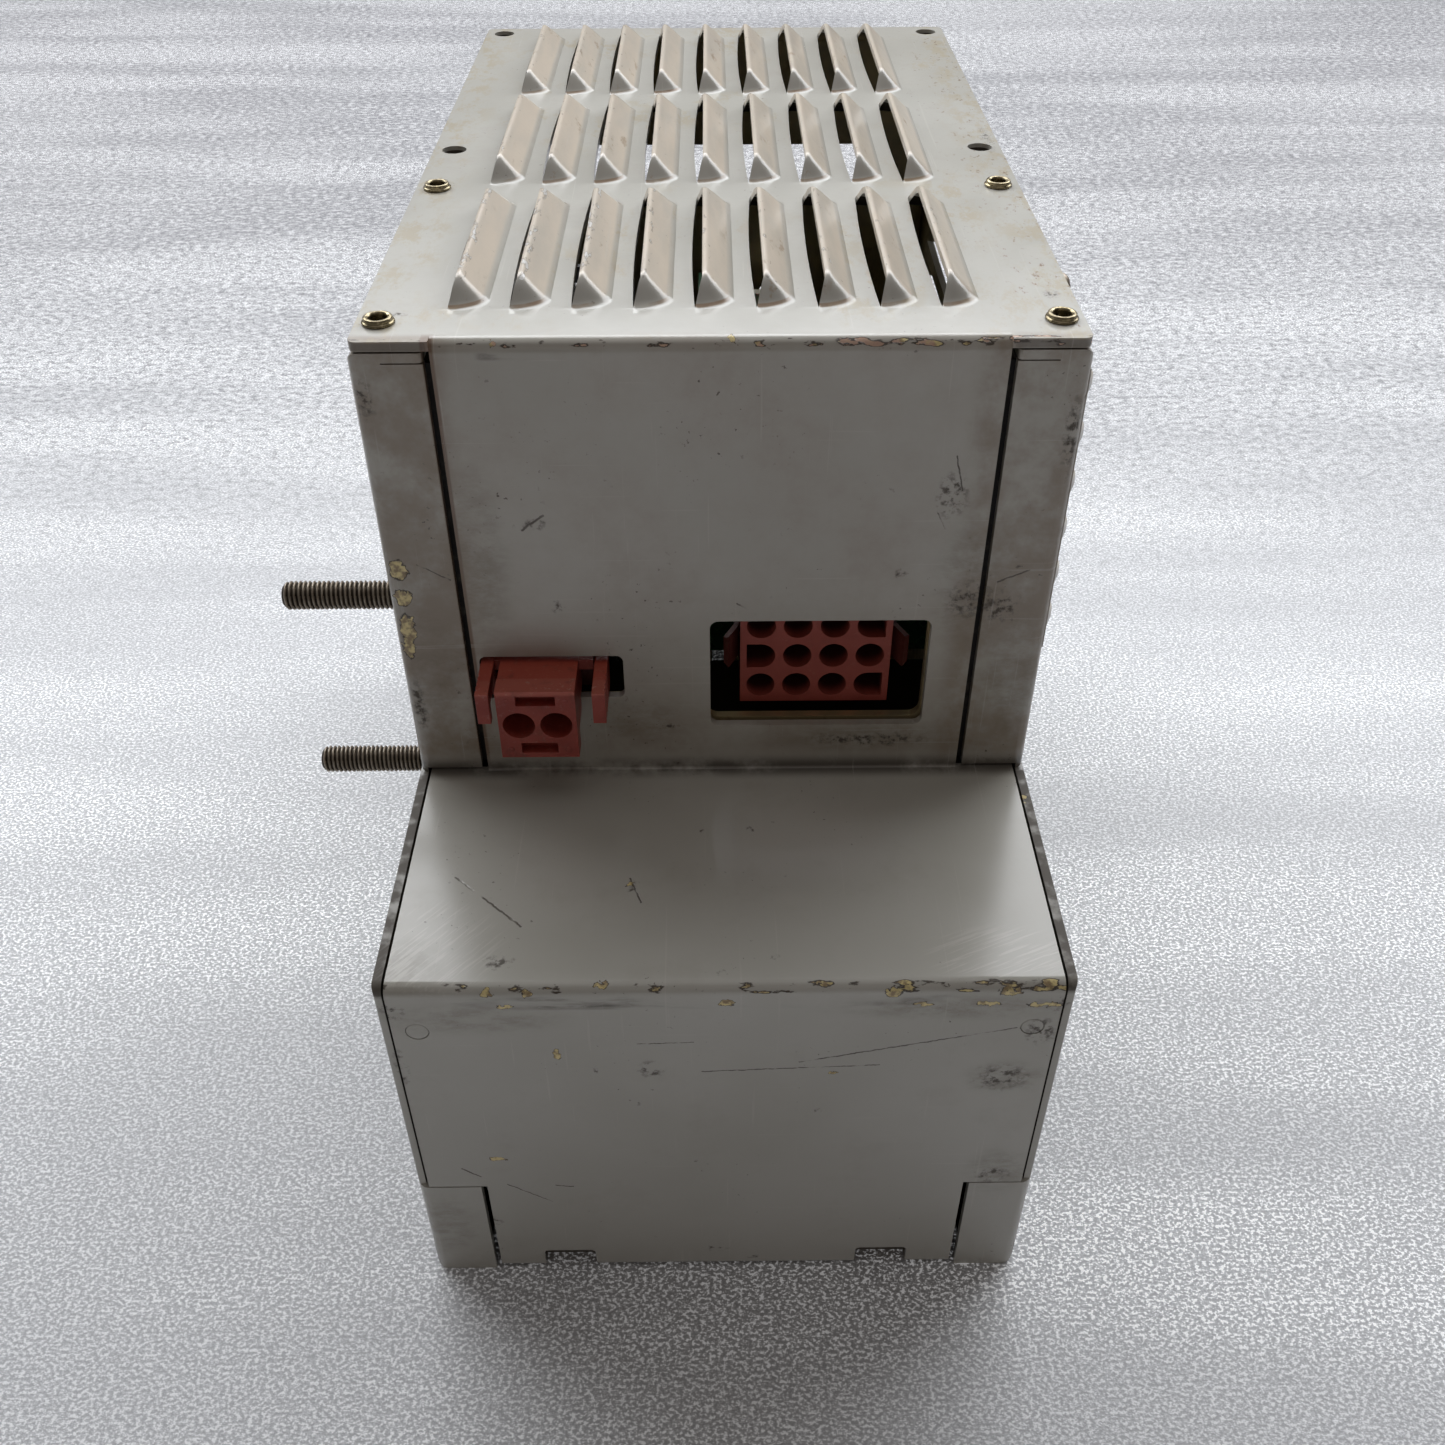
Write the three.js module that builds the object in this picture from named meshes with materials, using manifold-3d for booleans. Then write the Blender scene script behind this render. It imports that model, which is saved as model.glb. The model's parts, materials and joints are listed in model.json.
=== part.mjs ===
// Servo drive cassette: a stepped sheet-metal case with louvres, two mounting studs, a two-way power
// plug and a 12-way header in the front, and the drive electronics inside.
//
// Millimetres. +X is right seen from the front, +Y runs from the front to the rear, +Z is up.
// The origin is at the centre of the base. The lower front panel is at -Y.

import * as THREE from 'three';
import { mergeVertices } from 'three/addons/utils/BufferGeometryUtils.js';
import { ConvexGeometry } from 'three/addons/geometries/ConvexGeometry.js';
import Module from 'manifold-3d';

const wasm = await Module();
wasm.setup();

// ---- driving dimensions -------------------------------------------------------------------------

const CASE = { width: 109.2, plateWidth: 107.8, depth: 225, height: 163 };
const STEP = { depth: 51, height: 81 };      // the low box in front of the upper panel
const SHEET = 1.5;
const BEND = 2;                              // outer radius of a sheet bend
const FIT = 0.3;                             // gap between pieces that are fitted together

const FRONT = -CASE.depth / 2;               // outer face of the lower front panel
const REAR = CASE.depth / 2;
const PANEL = FRONT + STEP.depth;            // outer face of the upper front panel
const WALL = CASE.width / 2;                 // outer face of a side wall
const WALL_IN = WALL - SHEET;
const PLATE = CASE.plateWidth / 2;           // side edge of the top plate
const WALL_TOP = CASE.height - SHEET - FIT;

const PANEL_HALF = 42.2;                     // half width of the front panels between the flanges
const FLANGE_IN = 43.3;                      // inner edge of the side walls' front flanges
const TAB_HEIGHT = 27.2;                     // lower front flange of a side wall
const BOTTOM_FLANGE_IN = 44.6;
const REAR_FLANGE_IN = 44;
const CASE_SCREWS = {
  bottom: [[-49, -52], [49, -52], [-49, 82], [49, 82]],
  rear: [[-48.6, 28], [48.6, 28], [-48.6, 150], [48.6, 150]],
};
const SCREW_SHANK = 1.45;
const SCREW_HOLE = 1.75;
const HOOK_SLOT = { x: 29.1, width: 9.6, height: 6 };

// A louvre's lip stands that far in from its slot's edge. Its ends slope up over the taper at the lip,
// and start that far in at the foot's corner.
const TOP_LOUVRE = { length: 46.8, width: 5.7, height: 3.7, lip: 1.1, taper: 4.2, corner: 2.4 };
const SIDE_LOUVRE = { length: 46.8, width: 4.4, height: 2.8, lip: 0.9, taper: 4.4, corner: 1.8 };
const LOUVRE_ROWS = { first: PANEL + 11.2, pitch: 54.6, count: 3 };
const TOP_COLUMNS = { first: -40.9, pitch: 9.28, count: 9 };
const SIDE_COLUMNS = { first: PANEL + 2.8, pitch: 54.6, count: 3 };
const SIDE_ROWS = { top: 151.6, pitch: 8.65, count: 6 };

const STUD = { y: PANEL + 11.3, heights: [111.5, 74], radius: 2.5, reach: 21 };
const BUSH_PLACES = { front_left: [-50.4, PANEL + 6.7], front_right: [50.4, PANEL + 6.7],
  rear_left: [-50.1, PANEL + 63.9], rear_right: [50.1, PANEL + 63.9] };
const PLAIN_HOLES = [[-50, PANEL + 85.1], [50, PANEL + 85.1], [-49.8, REAR - 4.5], [49.8, REAR - 4.5]];
const BUSH_HOLE = 2.3;
const FRONT_RIVET = { x: 48.5, z: 71, radius: 1.8 };
const TOP_SCREW = { y: PANEL + 30, z: 158.2 };

const PLUG_OPENING = { x: [-41.2, -16.8], z: [97.5, 106.4], radius: 1.2 };
const HEADER_OPENING = { x: [-2, 35.1], z: [90.9, 113.4], radius: 1.5 };
const HEADER = { x: 16.4, z: 101.65, width: 26.3, height: 20.2, pitch: 6.35, rows: 3, columns: 4,
  face: PANEL + 6, rear: PANEL + 28, cavity: 2.5, depth: 13 };
const PLUG = { x: -31, width: 13.2, bottom: 91.8, top: 105.6, face: PANEL - 9.2, wires: 6.3,
  wireZ: 98.8, wireRadius: 2.6, pinZ: 101.6, noseInset: 1.2 };
const LATCH = { z: [99.2, 105.5], thickness: 2.2, left: -39.8, right: -20.5, pivot: PANEL + 0.8,
  front: PANEL - 9.2, rear: PANEL + 8 };
const SOCKET = { x: [-38, -22.3], z: [96.6, 107.2], face: PANEL + 4.6, rear: PANEL + 28 };

const BRACKET_Y = PANEL + 2;                 // front face of the connector bracket
const BRACKET = { half: 48, bottom: 84, top: 128,
  plugOpening: { x: [-43, -14.5], z: [96, 107.8], radius: 1.5 },
  headerOpening: { x: [-2.6, 34.9], z: [91.3, 114.2], radius: 2 } };
const BOARD = 1.6;                           // circuit board thickness
const CONNECTOR_BOARD_Y = HEADER.rear + 0.1;
const CONNECTOR_BOARD = { half: 46, z: [86.5, 119], holeX: 42, holeZ: 115 };
const HEAT_SINK = { x: -21, base: 5, fin: 1.6, tip: -47, fins: 11, y: [-26, 96], z: [8, 112] };
const MODULES = { bridges: [-22, 9, 40], bridgeWidth: 28, bridgeZ: [34, 96], rectifierY: [71, 93],
  rectifierZ: [46, 96] };
const POWER_BOARD = { x: -3, y: [-27, 100], z: [9, 108] };
const CONTROL_BOARD = { x: 23, y: [-27, 99], z: [9, 104] };
const CAPACITOR = { radius: 15.5, height: 66, places: [-34, 0, 34], y: FRONT + 23, base: 3.8, terminals: 5 };
const CLAMP = { half: 51.5, y: [CAPACITOR.y - 19.4, CAPACITOR.y + 19.6], z: 34, foot: 3.6 };
const CHOKE = { outer: 20, inner: 9, z: [5, 19], y: PANEL + 11.5, turns: 12 };
const SENSOR = { first: -8, pitch: 32, depth: 15, width: 22, z: [74, 96], bore: 4 };
const REAR_PANEL_Y = REAR - SHEET - FIT - SHEET;
const BOTTOM_SLOTS = { rows: [22, 66], length: 38, width: 4, pitch: 8, each: 9 };
const REAR_WINDOW = { x: [-38, 38], z: [126, 137], radius: 3 };
const BUS_CONNECTOR = { x: [12, 22.6], z: [14, 100], radius: 1 };

// ---- materials ----------------------------------------------------------------------------------

function finish(color, roughness, metalness) {
  return new THREE.MeshStandardMaterial({ color, roughness, metalness });
}

const PAINT = finish(0xb0aca4, 0.45, 0);
const ZINC = finish(0xa89a5c, 0.4, 0.8);
const STEEL = finish(0x8d857c, 0.45, 0.9);
const BRASS = finish(0xb79a58, 0.35, 0.9);
const RED_PLASTIC = finish(0x7c2f28, 0.5, 0);
const BLACK_PLASTIC = finish(0x1e1e20, 0.55, 0);
const ALUMINIUM = finish(0xa7a9ab, 0.4, 0.9);
const CIRCUIT_BOARD = finish(0x2f5a34, 0.5, 0);
const CAPACITOR_SLEEVE = finish(0x27365c, 0.4, 0);
const COPPER = finish(0xa0603a, 0.4, 0.7);
const RELAY_PLASTIC = finish(0xc9c2a8, 0.5, 0);
const LEAD_INSULATION = finish(0x8d2f2a, 0.6, 0);
const NYLON = finish(0xd8d4c4, 0.5, 0);

// ---- solids: three.js geometry, joined and cut as closed meshes ---------------------------------

function solid(geometry) {
  geometry.deleteAttribute('normal');
  geometry.deleteAttribute('uv');
  const merged = mergeVertices(geometry, 1e-5);
  return new wasm.Manifold(new wasm.Mesh({
    numProp: 3,
    vertProperties: new Float32Array(merged.attributes.position.array),
    triVerts: new Uint32Array(merged.index.array),
  }));
}

function block(x0, x1, y0, y1, z0, z1) {
  const box = new THREE.BoxGeometry(Math.abs(x1 - x0), Math.abs(y1 - y0), Math.abs(z1 - z0));
  return solid(box.translate((x0 + x1) / 2, (y0 + y1) / 2, (z0 + z1) / 2));
}

// An outline's two directions are (X, Y) along 'z', (Y, Z) along 'x' and (X, Z) along 'y'.
const OUTLINE_AXES = {
  x: [new THREE.Vector3(0, 1, 0), new THREE.Vector3(0, 0, 1), new THREE.Vector3(1, 0, 0)],
  y: [new THREE.Vector3(1, 0, 0), new THREE.Vector3(0, 0, 1), new THREE.Vector3(0, -1, 0)],
  z: [new THREE.Vector3(1, 0, 0), new THREE.Vector3(0, 1, 0), new THREE.Vector3(0, 0, 1)],
};

function prism(outline, axis, from, to, curveSegments = 8) {
  const depth = Math.abs(to - from);
  const geometry = new THREE.ExtrudeGeometry(outline, { depth, bevelEnabled: false, curveSegments });
  const start = axis === 'y' ? -Math.max(from, to) : Math.min(from, to);
  geometry.translate(0, 0, start);
  return solid(geometry.applyMatrix4(new THREE.Matrix4().makeBasis(...OUTLINE_AXES[axis])));
}

function polygon(points) {
  return new THREE.Shape(points.map(([u, v]) => new THREE.Vector2(u, v)));
}

function disc(u, v, radius) {
  return new THREE.Shape().absarc(u, v, radius, 0, 2 * Math.PI);
}

function roundedRectangle(u0, u1, v0, v1, radius) {
  return new THREE.Shape()
    .absarc(u1 - radius, v1 - radius, radius, 0, Math.PI / 2)
    .absarc(u0 + radius, v1 - radius, radius, Math.PI / 2, Math.PI)
    .absarc(u0 + radius, v0 + radius, radius, Math.PI, 1.5 * Math.PI)
    .absarc(u1 - radius, v0 + radius, radius, 1.5 * Math.PI, 2 * Math.PI);
}

function rod(axis, u, v, radius, from, to, sides = 12) {
  return prism(disc(u, v, radius), axis, from, to, sides / 2);
}

// A body of revolution: the profile lists (radius, distance along the axis) from axis to axis.
function turned(profile, axis, centre, sides = 12) {
  const points = profile.map(([radius, along]) => new THREE.Vector2(radius, along));
  const geometry = new THREE.LatheGeometry(points, sides);
  if (axis === 'z') {
    geometry.rotateX(Math.PI / 2);
  }
  if (axis === 'x') {
    geometry.rotateZ(-Math.PI / 2);
  }
  return solid(geometry.translate(...centre));
}

// The outline of a bent sheet whose middle line runs through the given corners.
function bentStrip(corners, thickness, outerRadius, steps = 3) {
  const path = corners.map(([u, v]) => new THREE.Vector2(u, v));
  const middleRadius = outerRadius - thickness / 2;
  const line = [];
  const normalOf = (direction) => new THREE.Vector2(-direction.y, direction.x);
  path.forEach((corner, i) => {
    if (i === 0 || i === path.length - 1) {
      const other = i === 0 ? path[1] : path[i - 1];
      const along = i === 0 ? other.clone().sub(corner) : corner.clone().sub(other);
      line.push({ point: corner, normal: normalOf(along.normalize()) });
      return;
    }
    const before = corner.clone().sub(path[i - 1]).normalize();
    const after = path[i + 1].clone().sub(corner).normalize();
    const turn = Math.atan2(before.cross(after), before.dot(after));
    const setBack = middleRadius * Math.tan(Math.abs(turn) / 2);
    const side = Math.sign(turn);
    const start = corner.clone().addScaledVector(before, -setBack);
    const centre = start.clone().addScaledVector(normalOf(before), side * middleRadius);
    for (let k = 0; k <= steps; k += 1) {
      const normal = normalOf(before).rotateAround(new THREE.Vector2(), turn * k / steps);
      line.push({ point: centre.clone().addScaledVector(normal, -side * middleRadius), normal });
    }
  });
  const offset = (sign) => ({ point, normal }) => point.clone()
    .addScaledVector(normal, sign * thickness / 2);
  return new THREE.Shape([...line.map(offset(1)), ...line.map(offset(-1)).reverse()]);
}

function join(...solids) {
  return solids.reduce((all, piece) => all.add(piece));
}

function cut(body, ...cutters) {
  return cutters.reduce((rest, cutter) => rest.subtract(cutter), body);
}

// ---- the assembly -------------------------------------------------------------------------------

const drive = new THREE.Group();

function piece(name, body, material) {
  const { vertProperties, triVerts } = body.getMesh();
  const geometry = new THREE.BufferGeometry();
  geometry.setAttribute('position', new THREE.BufferAttribute(vertProperties, 3));
  geometry.setIndex(new THREE.BufferAttribute(triVerts, 1));
  geometry.computeVertexNormals();
  const mesh = new THREE.Mesh(geometry, material);
  mesh.name = name;
  drive.add(mesh);
}

// ---- case: louvres ------------------------------------------------------------------------------

// One louvre in its own frame: the slot's edge is at x = 0, the hood falls towards +x, and y runs
// along it. Height is above the sheet's outer face. place() turns the points into the case's frame.
function louvre(size, place) {
  const { length, width, height, lip, taper, corner } = size;
  const hull = (points) => solid(new ConvexGeometry(points.map(([x, y, z]) => place(x, y, z))));
  const bothEnds = (x, y, z) => [[x, y, z], [x, length - y, z]];
  const sunk = -0.05;
  const hood = hull([
    ...bothEnds(lip, 0, sunk), ...bothEnds(width, corner, sunk),
    ...bothEnds(lip, 0, 0), ...bothEnds(width, corner, 0), ...bothEnds(lip, taper, height),
  ]);
  const wall = 1.2;
  const slotEnd = 0.9;
  const innerFoot = width - 1.4 * wall;
  const innerCorner = slotEnd + corner * innerFoot / width;
  const slot = hull([-SHEET - 0.2, 0.01].flatMap((z) => [
    ...bothEnds(0, slotEnd, z), ...bothEnds(innerFoot, innerCorner, z),
  ]));
  const ahead = 0.5;
  const mouthHeight = height - wall + (lip + ahead) * 0.6 * height / (width - lip);
  const mouth = hull([
    ...bothEnds(-ahead, slotEnd, 0), ...bothEnds(innerFoot, innerCorner, 0),
    ...bothEnds(-ahead, taper + 0.4, mouthHeight),
  ]);
  return { hood, slot, mouth };
}

function withLouvres(sheet, louvres) {
  const hooded = join(sheet, ...louvres.map(({ hood }) => hood));
  return cut(hooded, ...louvres.flatMap(({ slot, mouth }) => [slot, mouth]));
}

function grid(rows, columns) {
  const places = [];
  for (let row = 0; row < rows.count; row += 1) {
    for (let column = 0; column < columns.count; column += 1) {
      places.push([row, column]);
    }
  }
  return places;
}

function topLouvres() {
  return grid(LOUVRE_ROWS, TOP_COLUMNS).map(([row, column]) => {
    const x0 = TOP_COLUMNS.first + column * TOP_COLUMNS.pitch;
    const y0 = LOUVRE_ROWS.first + row * LOUVRE_ROWS.pitch;
    return louvre(TOP_LOUVRE, (x, y, z) => new THREE.Vector3(x0 + x, y0 + y, CASE.height + z));
  });
}

function rightWallLouvres() {
  return grid(SIDE_COLUMNS, SIDE_ROWS).map(([column, row]) => {
    const y0 = SIDE_COLUMNS.first + column * SIDE_COLUMNS.pitch;
    const z0 = SIDE_ROWS.top - row * SIDE_ROWS.pitch;
    return louvre(SIDE_LOUVRE, (x, y, z) => new THREE.Vector3(WALL + z, y0 + y, z0 + x));
  });
}

// ---- case: sheets -------------------------------------------------------------------------------

function opening({ x, z, radius }, y0, y1, grow = 0) {
  const outline = roundedRectangle(x[0] - grow, x[1] + grow, z[0] - grow, z[1] + grow, radius);
  return prism(outline, 'y', y0, y1, 3);
}

function frontCover() {
  const mid = SHEET / 2;
  const returnDepth = 15;
  const panels = bentStrip([[FRONT + returnDepth, mid], [FRONT + mid, mid],
    [FRONT + mid, STEP.height - mid], [PANEL + mid, STEP.height - mid],
    [PANEL + mid, CASE.height - mid], [REAR, CASE.height - mid]], SHEET, BEND);
  const lowBox = bentStrip([[FRONT + mid, TAB_HEIGHT + FIT], [FRONT + mid, STEP.height - mid],
    [PANEL + mid, STEP.height - mid]], SHEET, BEND);
  const shelfHalf = WALL_IN - 0.6;
  const ear = (side) => block(side * (PANEL_HALF - 0.2), side * PLATE, PANEL, REAR,
    CASE.height - SHEET, CASE.height);
  const sheet = join(prism(panels, 'x', -PANEL_HALF, PANEL_HALF),
    prism(lowBox, 'x', -shelfHalf, shelfHalf), ear(1), ear(-1));
  const hookSlot = (side) => block(side * (HOOK_SLOT.x - HOOK_SLOT.width / 2),
    side * (HOOK_SLOT.x + HOOK_SLOT.width / 2), FRONT - 1, FRONT + 3, -1, HOOK_SLOT.height);
  const topHole = ([x, y]) => rod('z', x, y, BUSH_HOLE, CASE.height - 3, CASE.height + 1, 12);
  const rivetHole = (side) => rod('y', side * FRONT_RIVET.x, FRONT_RIVET.z,
    FRONT_RIVET.radius + 0.1, FRONT - 1, FRONT + 3, 12);
  return cut(withLouvres(sheet, topLouvres()), hookSlot(1), hookSlot(-1), rivetHole(1), rivetHole(-1),
    opening(PLUG_OPENING, PANEL - 1, PANEL + 3), opening(HEADER_OPENING, PANEL - 1, PANEL + 3),
    ...Object.values(BUSH_PLACES).map(topHole), ...PLAIN_HOLES.map(topHole));
}

// The rounded outer shape of both side walls: every folded edge of the case has the bend radius.
function caseEnvelope() {
  const upright = prism(roundedRectangle(-WALL, WALL, 0, WALL_TOP, BEND), 'y', FRONT, REAR, 3);
  const stepZ = STEP.height - 0.6;
  const low = prism(roundedRectangle(-WALL, WALL, FRONT, REAR, BEND), 'z', 0, stepZ, 3);
  const high = prism(roundedRectangle(-WALL, WALL, PANEL, REAR, BEND), 'z', stepZ, WALL_TOP, 3);
  return upright.intersect(join(low, high));
}

function sideWall(side) {
  const edge = FRONT + 0.8;
  const stepZ = STEP.height - 0.6;
  const outline = polygon([[FRONT, 0], [REAR, 0], [REAR, WALL_TOP], [PANEL, WALL_TOP], [PANEL, stepZ],
    [edge + BEND, stepZ], [edge, stepZ - BEND], [edge, TAB_HEIGHT], [FRONT, TAB_HEIGHT]]);
  const flange = (inner, y0, y1, z0, z1) => block(side * inner, side * WALL, y0, y1, z0, z1);
  const relief = 2.2;
  const wall = join(prism(outline, 'x', side * WALL_IN, side * WALL),
    flange(FLANGE_IN, PANEL, PANEL + SHEET, STEP.height + 0.5, WALL_TOP),
    flange(FLANGE_IN, FRONT, FRONT + SHEET, 0, TAB_HEIGHT),
    flange(FLANGE_IN, PANEL + relief, REAR, WALL_TOP - SHEET, WALL_TOP),
    flange(BOTTOM_FLANGE_IN, FRONT + relief, REAR, 0, SHEET),
    flange(REAR_FLANGE_IN, REAR - SHEET, REAR, 0, WALL_TOP));
  const onThisSide = ([x]) => x * side > 0;
  const topHoles = [...Object.values(BUSH_PLACES), ...PLAIN_HOLES].filter(onThisSide)
    .map(([x, y]) => rod('z', x, y, BUSH_HOLE, WALL_TOP - 3, WALL_TOP + 1, 12));
  const rearHoles = CASE_SCREWS.rear.filter(onThisSide)
    .map(([x, z]) => rod('y', x, z, SCREW_HOLE, REAR - 3, REAR + 1, 12));
  const countersinks = CASE_SCREWS.bottom.filter(onThisSide)
    .map(([x, y]) => turned([[0, -0.1], [3.1, -0.1], [SCREW_HOLE, 1.6], [0, 1.6]], 'z', [x, y, 0], 12));
  return cut(wall.intersect(caseEnvelope()), ...topHoles, ...rearHoles, ...countersinks);
}

function leftSideWall() {
  const holes = STUD.heights.map((z) => rod('x', STUD.y, z, STUD.radius + FIT, -WALL - 1, -WALL_IN + 1));
  return cut(sideWall(-1), ...holes);
}

function rightSideWall() {
  const screwHole = rod('x', TOP_SCREW.y, TOP_SCREW.z, SCREW_HOLE - 0.35, WALL_IN - 1, WALL + 1, 12);
  return cut(withLouvres(sideWall(1), rightWallLouvres()), screwHole);
}

function bottomPlate() {
  const mid = SHEET / 2;
  const lifted = SHEET + FIT + mid;
  const edge = WALL_IN - 0.5;
  const rise = [41.6, 43.6];
  const section = bentStrip([[-edge, lifted], [-rise[1], lifted], [-rise[0], mid], [rise[0], mid],
    [rise[1], lifted], [edge, lifted]], SHEET, BEND, 2);
  const plateFront = FRONT + 16;
  const plate = prism(section, 'y', plateFront, REAR - SHEET - FIT);
  const hook = bentStrip([[plateFront + 8, mid], [plateFront + 3, mid], [plateFront + 1, 2.7],
    [FRONT + 2.6, 2.7], [FRONT + 2.6, HOOK_SLOT.height - 0.6]], SHEET, BEND, 2);
  const tongueHalf = HOOK_SLOT.width / 2 - 0.9;
  const tongue = (side) => prism(hook, 'x', side * HOOK_SLOT.x - tongueHalf,
    side * HOOK_SLOT.x + tongueHalf);
  const throat = (side) => block(side * HOOK_SLOT.x - tongueHalf - 0.5,
    side * HOOK_SLOT.x + tongueHalf + 0.5, plateFront - 1, plateFront + 6, -1, 3);
  const { rows, length, width, pitch, each } = BOTTOM_SLOTS;
  const slots = grid({ count: rows.length }, { count: each }).map(([row, column]) => {
    const x = (column - (each - 1) / 2) * pitch;
    return block(x - width / 2, x + width / 2, rows[row], rows[row] + length, -1, 3);
  });
  const holes = CASE_SCREWS.bottom.map(([x, y]) => rod('z', x, y, SCREW_HOLE, 0, 5, 12));
  const cutPlate = cut(plate, throat(1), throat(-1), ...slots, ...holes);
  return join(cutPlate, tongue(1), tongue(-1));
}

function rearPanel() {
  const half = WALL_IN - 0.5;
  const thickness = [REAR_PANEL_Y, REAR_PANEL_Y + SHEET];
  const underFlanges = WALL_TOP - SHEET - FIT;
  const sheet = join(block(-half, half, ...thickness, 3.7, underFlanges),
    block(-PANEL_HALF, PANEL_HALF, ...thickness, underFlanges - 1, WALL_TOP));
  const through = [REAR_PANEL_Y - 1, REAR_PANEL_Y + 3];
  const holes = CASE_SCREWS.rear.map(([x, z]) => rod('y', x, z, SCREW_HOLE, ...through, 12));
  return cut(sheet, opening(REAR_WINDOW, ...through),
    opening(BUS_CONNECTOR, ...through, 2 * FIT), ...holes);
}

function rivetBush([x, y]) {
  const bore = 1.35;
  const base = CASE.height + 0.05;
  const profile = [[bore, -4], [1.95, -4], [1.95, 0], [2.45, 0], [2.45, 0.3], [2.2, 0.45],
    [2.2, 0.85], [1.95, 1], [bore, 1], [bore, -4]];
  return turned(profile, 'z', [x, y, base], 14);
}

function panScrew(axis, centre, sign) {
  const profile = [[0, -7], [SCREW_SHANK - 0.2, -7], [SCREW_SHANK - 0.2, 0], [2.3, 0], [2.3, 0.9],
    [1.9, 1.8], [1.1, 2.3], [0, 2.4]];
  const placed = profile.map(([radius, along]) => [radius, sign * along]);
  const driver = block(-0.3, 0.3, -1.6, 1.6, -0.6, 0.6);
  const alongAxis = new THREE.Vector3(...centre).setComponent('xyz'.indexOf(axis),
    centre['xyz'.indexOf(axis)] + sign * 2.2);
  const screw = turned(sign > 0 ? placed : placed.reverse(), axis, centre);
  return cut(screw, driver.translate(alongAxis.toArray()));
}

function countersunkScrew([x, y]) {
  const profile = [[0, 0.1], [2.7, 0.1], [SCREW_SHANK, 1.45], [SCREW_SHANK, 7], [0, 7]];
  const driver = block(x - 0.3, x + 0.3, y - 2, y + 2, 0, 0.7);
  return cut(turned(profile, 'z', [x, y, 0]), driver);
}

function flushRivet(side) {
  const profile = [[0, -2.4], [2.4, -2.4], [2.4, -1.6], [FRONT_RIVET.radius, -1.6],
    [FRONT_RIVET.radius, -0.05], [0, -0.05]];
  const outward = profile.map(([radius, along]) => [radius, -along]).reverse();
  return turned(outward, 'y', [side * FRONT_RIVET.x, FRONT, FRONT_RIVET.z]);
}

function stud(z) {
  const tip = -WALL - STUD.reach;
  const inside = -WALL_IN + FIT;
  const profile = [[0, tip], [STUD.radius - 0.8, tip], [STUD.radius, tip + 0.8], [STUD.radius, inside],
    [4.4, inside], [4.4, inside + 1.6], [0, inside + 1.6]];
  return turned(profile, 'x', [0, STUD.y, z], 18);
}

function makeCase() {
  piece('front_cover', frontCover(), PAINT);
  piece('left_side_wall', leftSideWall(), PAINT);
  piece('right_side_wall', rightSideWall(), PAINT);
  piece('bottom_plate', bottomPlate(), ZINC);
  piece('rear_panel', rearPanel(), ZINC);
  for (const [place, centre] of Object.entries(BUSH_PLACES)) {
    piece(`rivet_bush_${place}`, rivetBush(centre), BRASS);
  }
  piece('front_rivet_left', flushRivet(-1), PAINT);
  piece('front_rivet_right', flushRivet(1), PAINT);
  piece('mounting_stud_upper', stud(STUD.heights[0]), STEEL);
  piece('mounting_stud_lower', stud(STUD.heights[1]), STEEL);
  piece('side_screw', panScrew('x', [WALL + 0.05, TOP_SCREW.y, TOP_SCREW.z], 1), STEEL);
  CASE_SCREWS.bottom.forEach((place, i) => {
    piece(`bottom_screw_${i + 1}`, countersunkScrew(place), STEEL);
  });
  CASE_SCREWS.rear.forEach(([x, z], i) => {
    piece(`rear_screw_${i + 1}`, panScrew('y', [x, REAR + 0.05, z], 1), STEEL);
  });
}

// ---- connectors ---------------------------------------------------------------------------------

function connectorBracket() {
  const mid = SHEET / 2;
  const section = bentStrip([[BRACKET_Y + mid, BRACKET.top], [BRACKET_Y + mid, BRACKET.bottom],
    [CONNECTOR_BOARD_Y - 1, BRACKET.bottom]], SHEET, BEND);
  const sheet = prism(section, 'x', -BRACKET.half, BRACKET.half);
  const through = [BRACKET_Y - 1, BRACKET_Y + 3];
  return cut(sheet, opening(BRACKET.plugOpening, ...through), opening(BRACKET.headerOpening, ...through));
}

// Where the cavities are square-cornered on one side, so that a plug fits in one way only.
const KEYED_CAVITIES = [[0, 3, 1], [1, 0, -1], [2, 3, 1]];

function signalHeader() {
  const { x, z, width, height, pitch, rows, columns, face, rear, cavity, depth } = HEADER;
  const left = x - width / 2;
  const body = block(left, left + width, face, rear, z - height / 2, z + height / 2);
  const floor = face + depth;
  const cavities = [];
  for (let row = 0; row < rows; row += 1) {
    for (let column = 0; column < columns; column += 1) {
      const cx = x + (column - (columns - 1) / 2) * pitch;
      const cz = z + ((rows - 1) / 2 - row) * pitch;
      cavities.push(rod('y', cx, cz, cavity, face - 1, floor, 14));
      const key = KEYED_CAVITIES.find(([r, c]) => r === row && c === column);
      if (key) {
        cavities.push(block(cx, cx + key[2] * cavity, face - 1, floor, cz - cavity, cz + cavity));
      }
    }
  }
  return cut(body, ...cavities);
}

function headerEar(side) {
  const edge = HEADER.x + side * (HEADER.width / 2 + 0.1);
  const outline = bentStrip([[edge + side * 0.5, HEADER.face + 9], [edge + side * 0.5, HEADER.face + 3.4],
    [edge + side * 2.4, HEADER.face - 0.6]], 0.9, 1.2, 2);
  const wing = prism(outline, 'z', 99.6, 106.2);
  const corner = polygon([[edge + side * 1.2, 99], [edge + side * 4, 99], [edge + side * 4, 101.9]]);
  return cut(wing, prism(corner, 'y', HEADER.face - 2, HEADER.face + 10));
}

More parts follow.
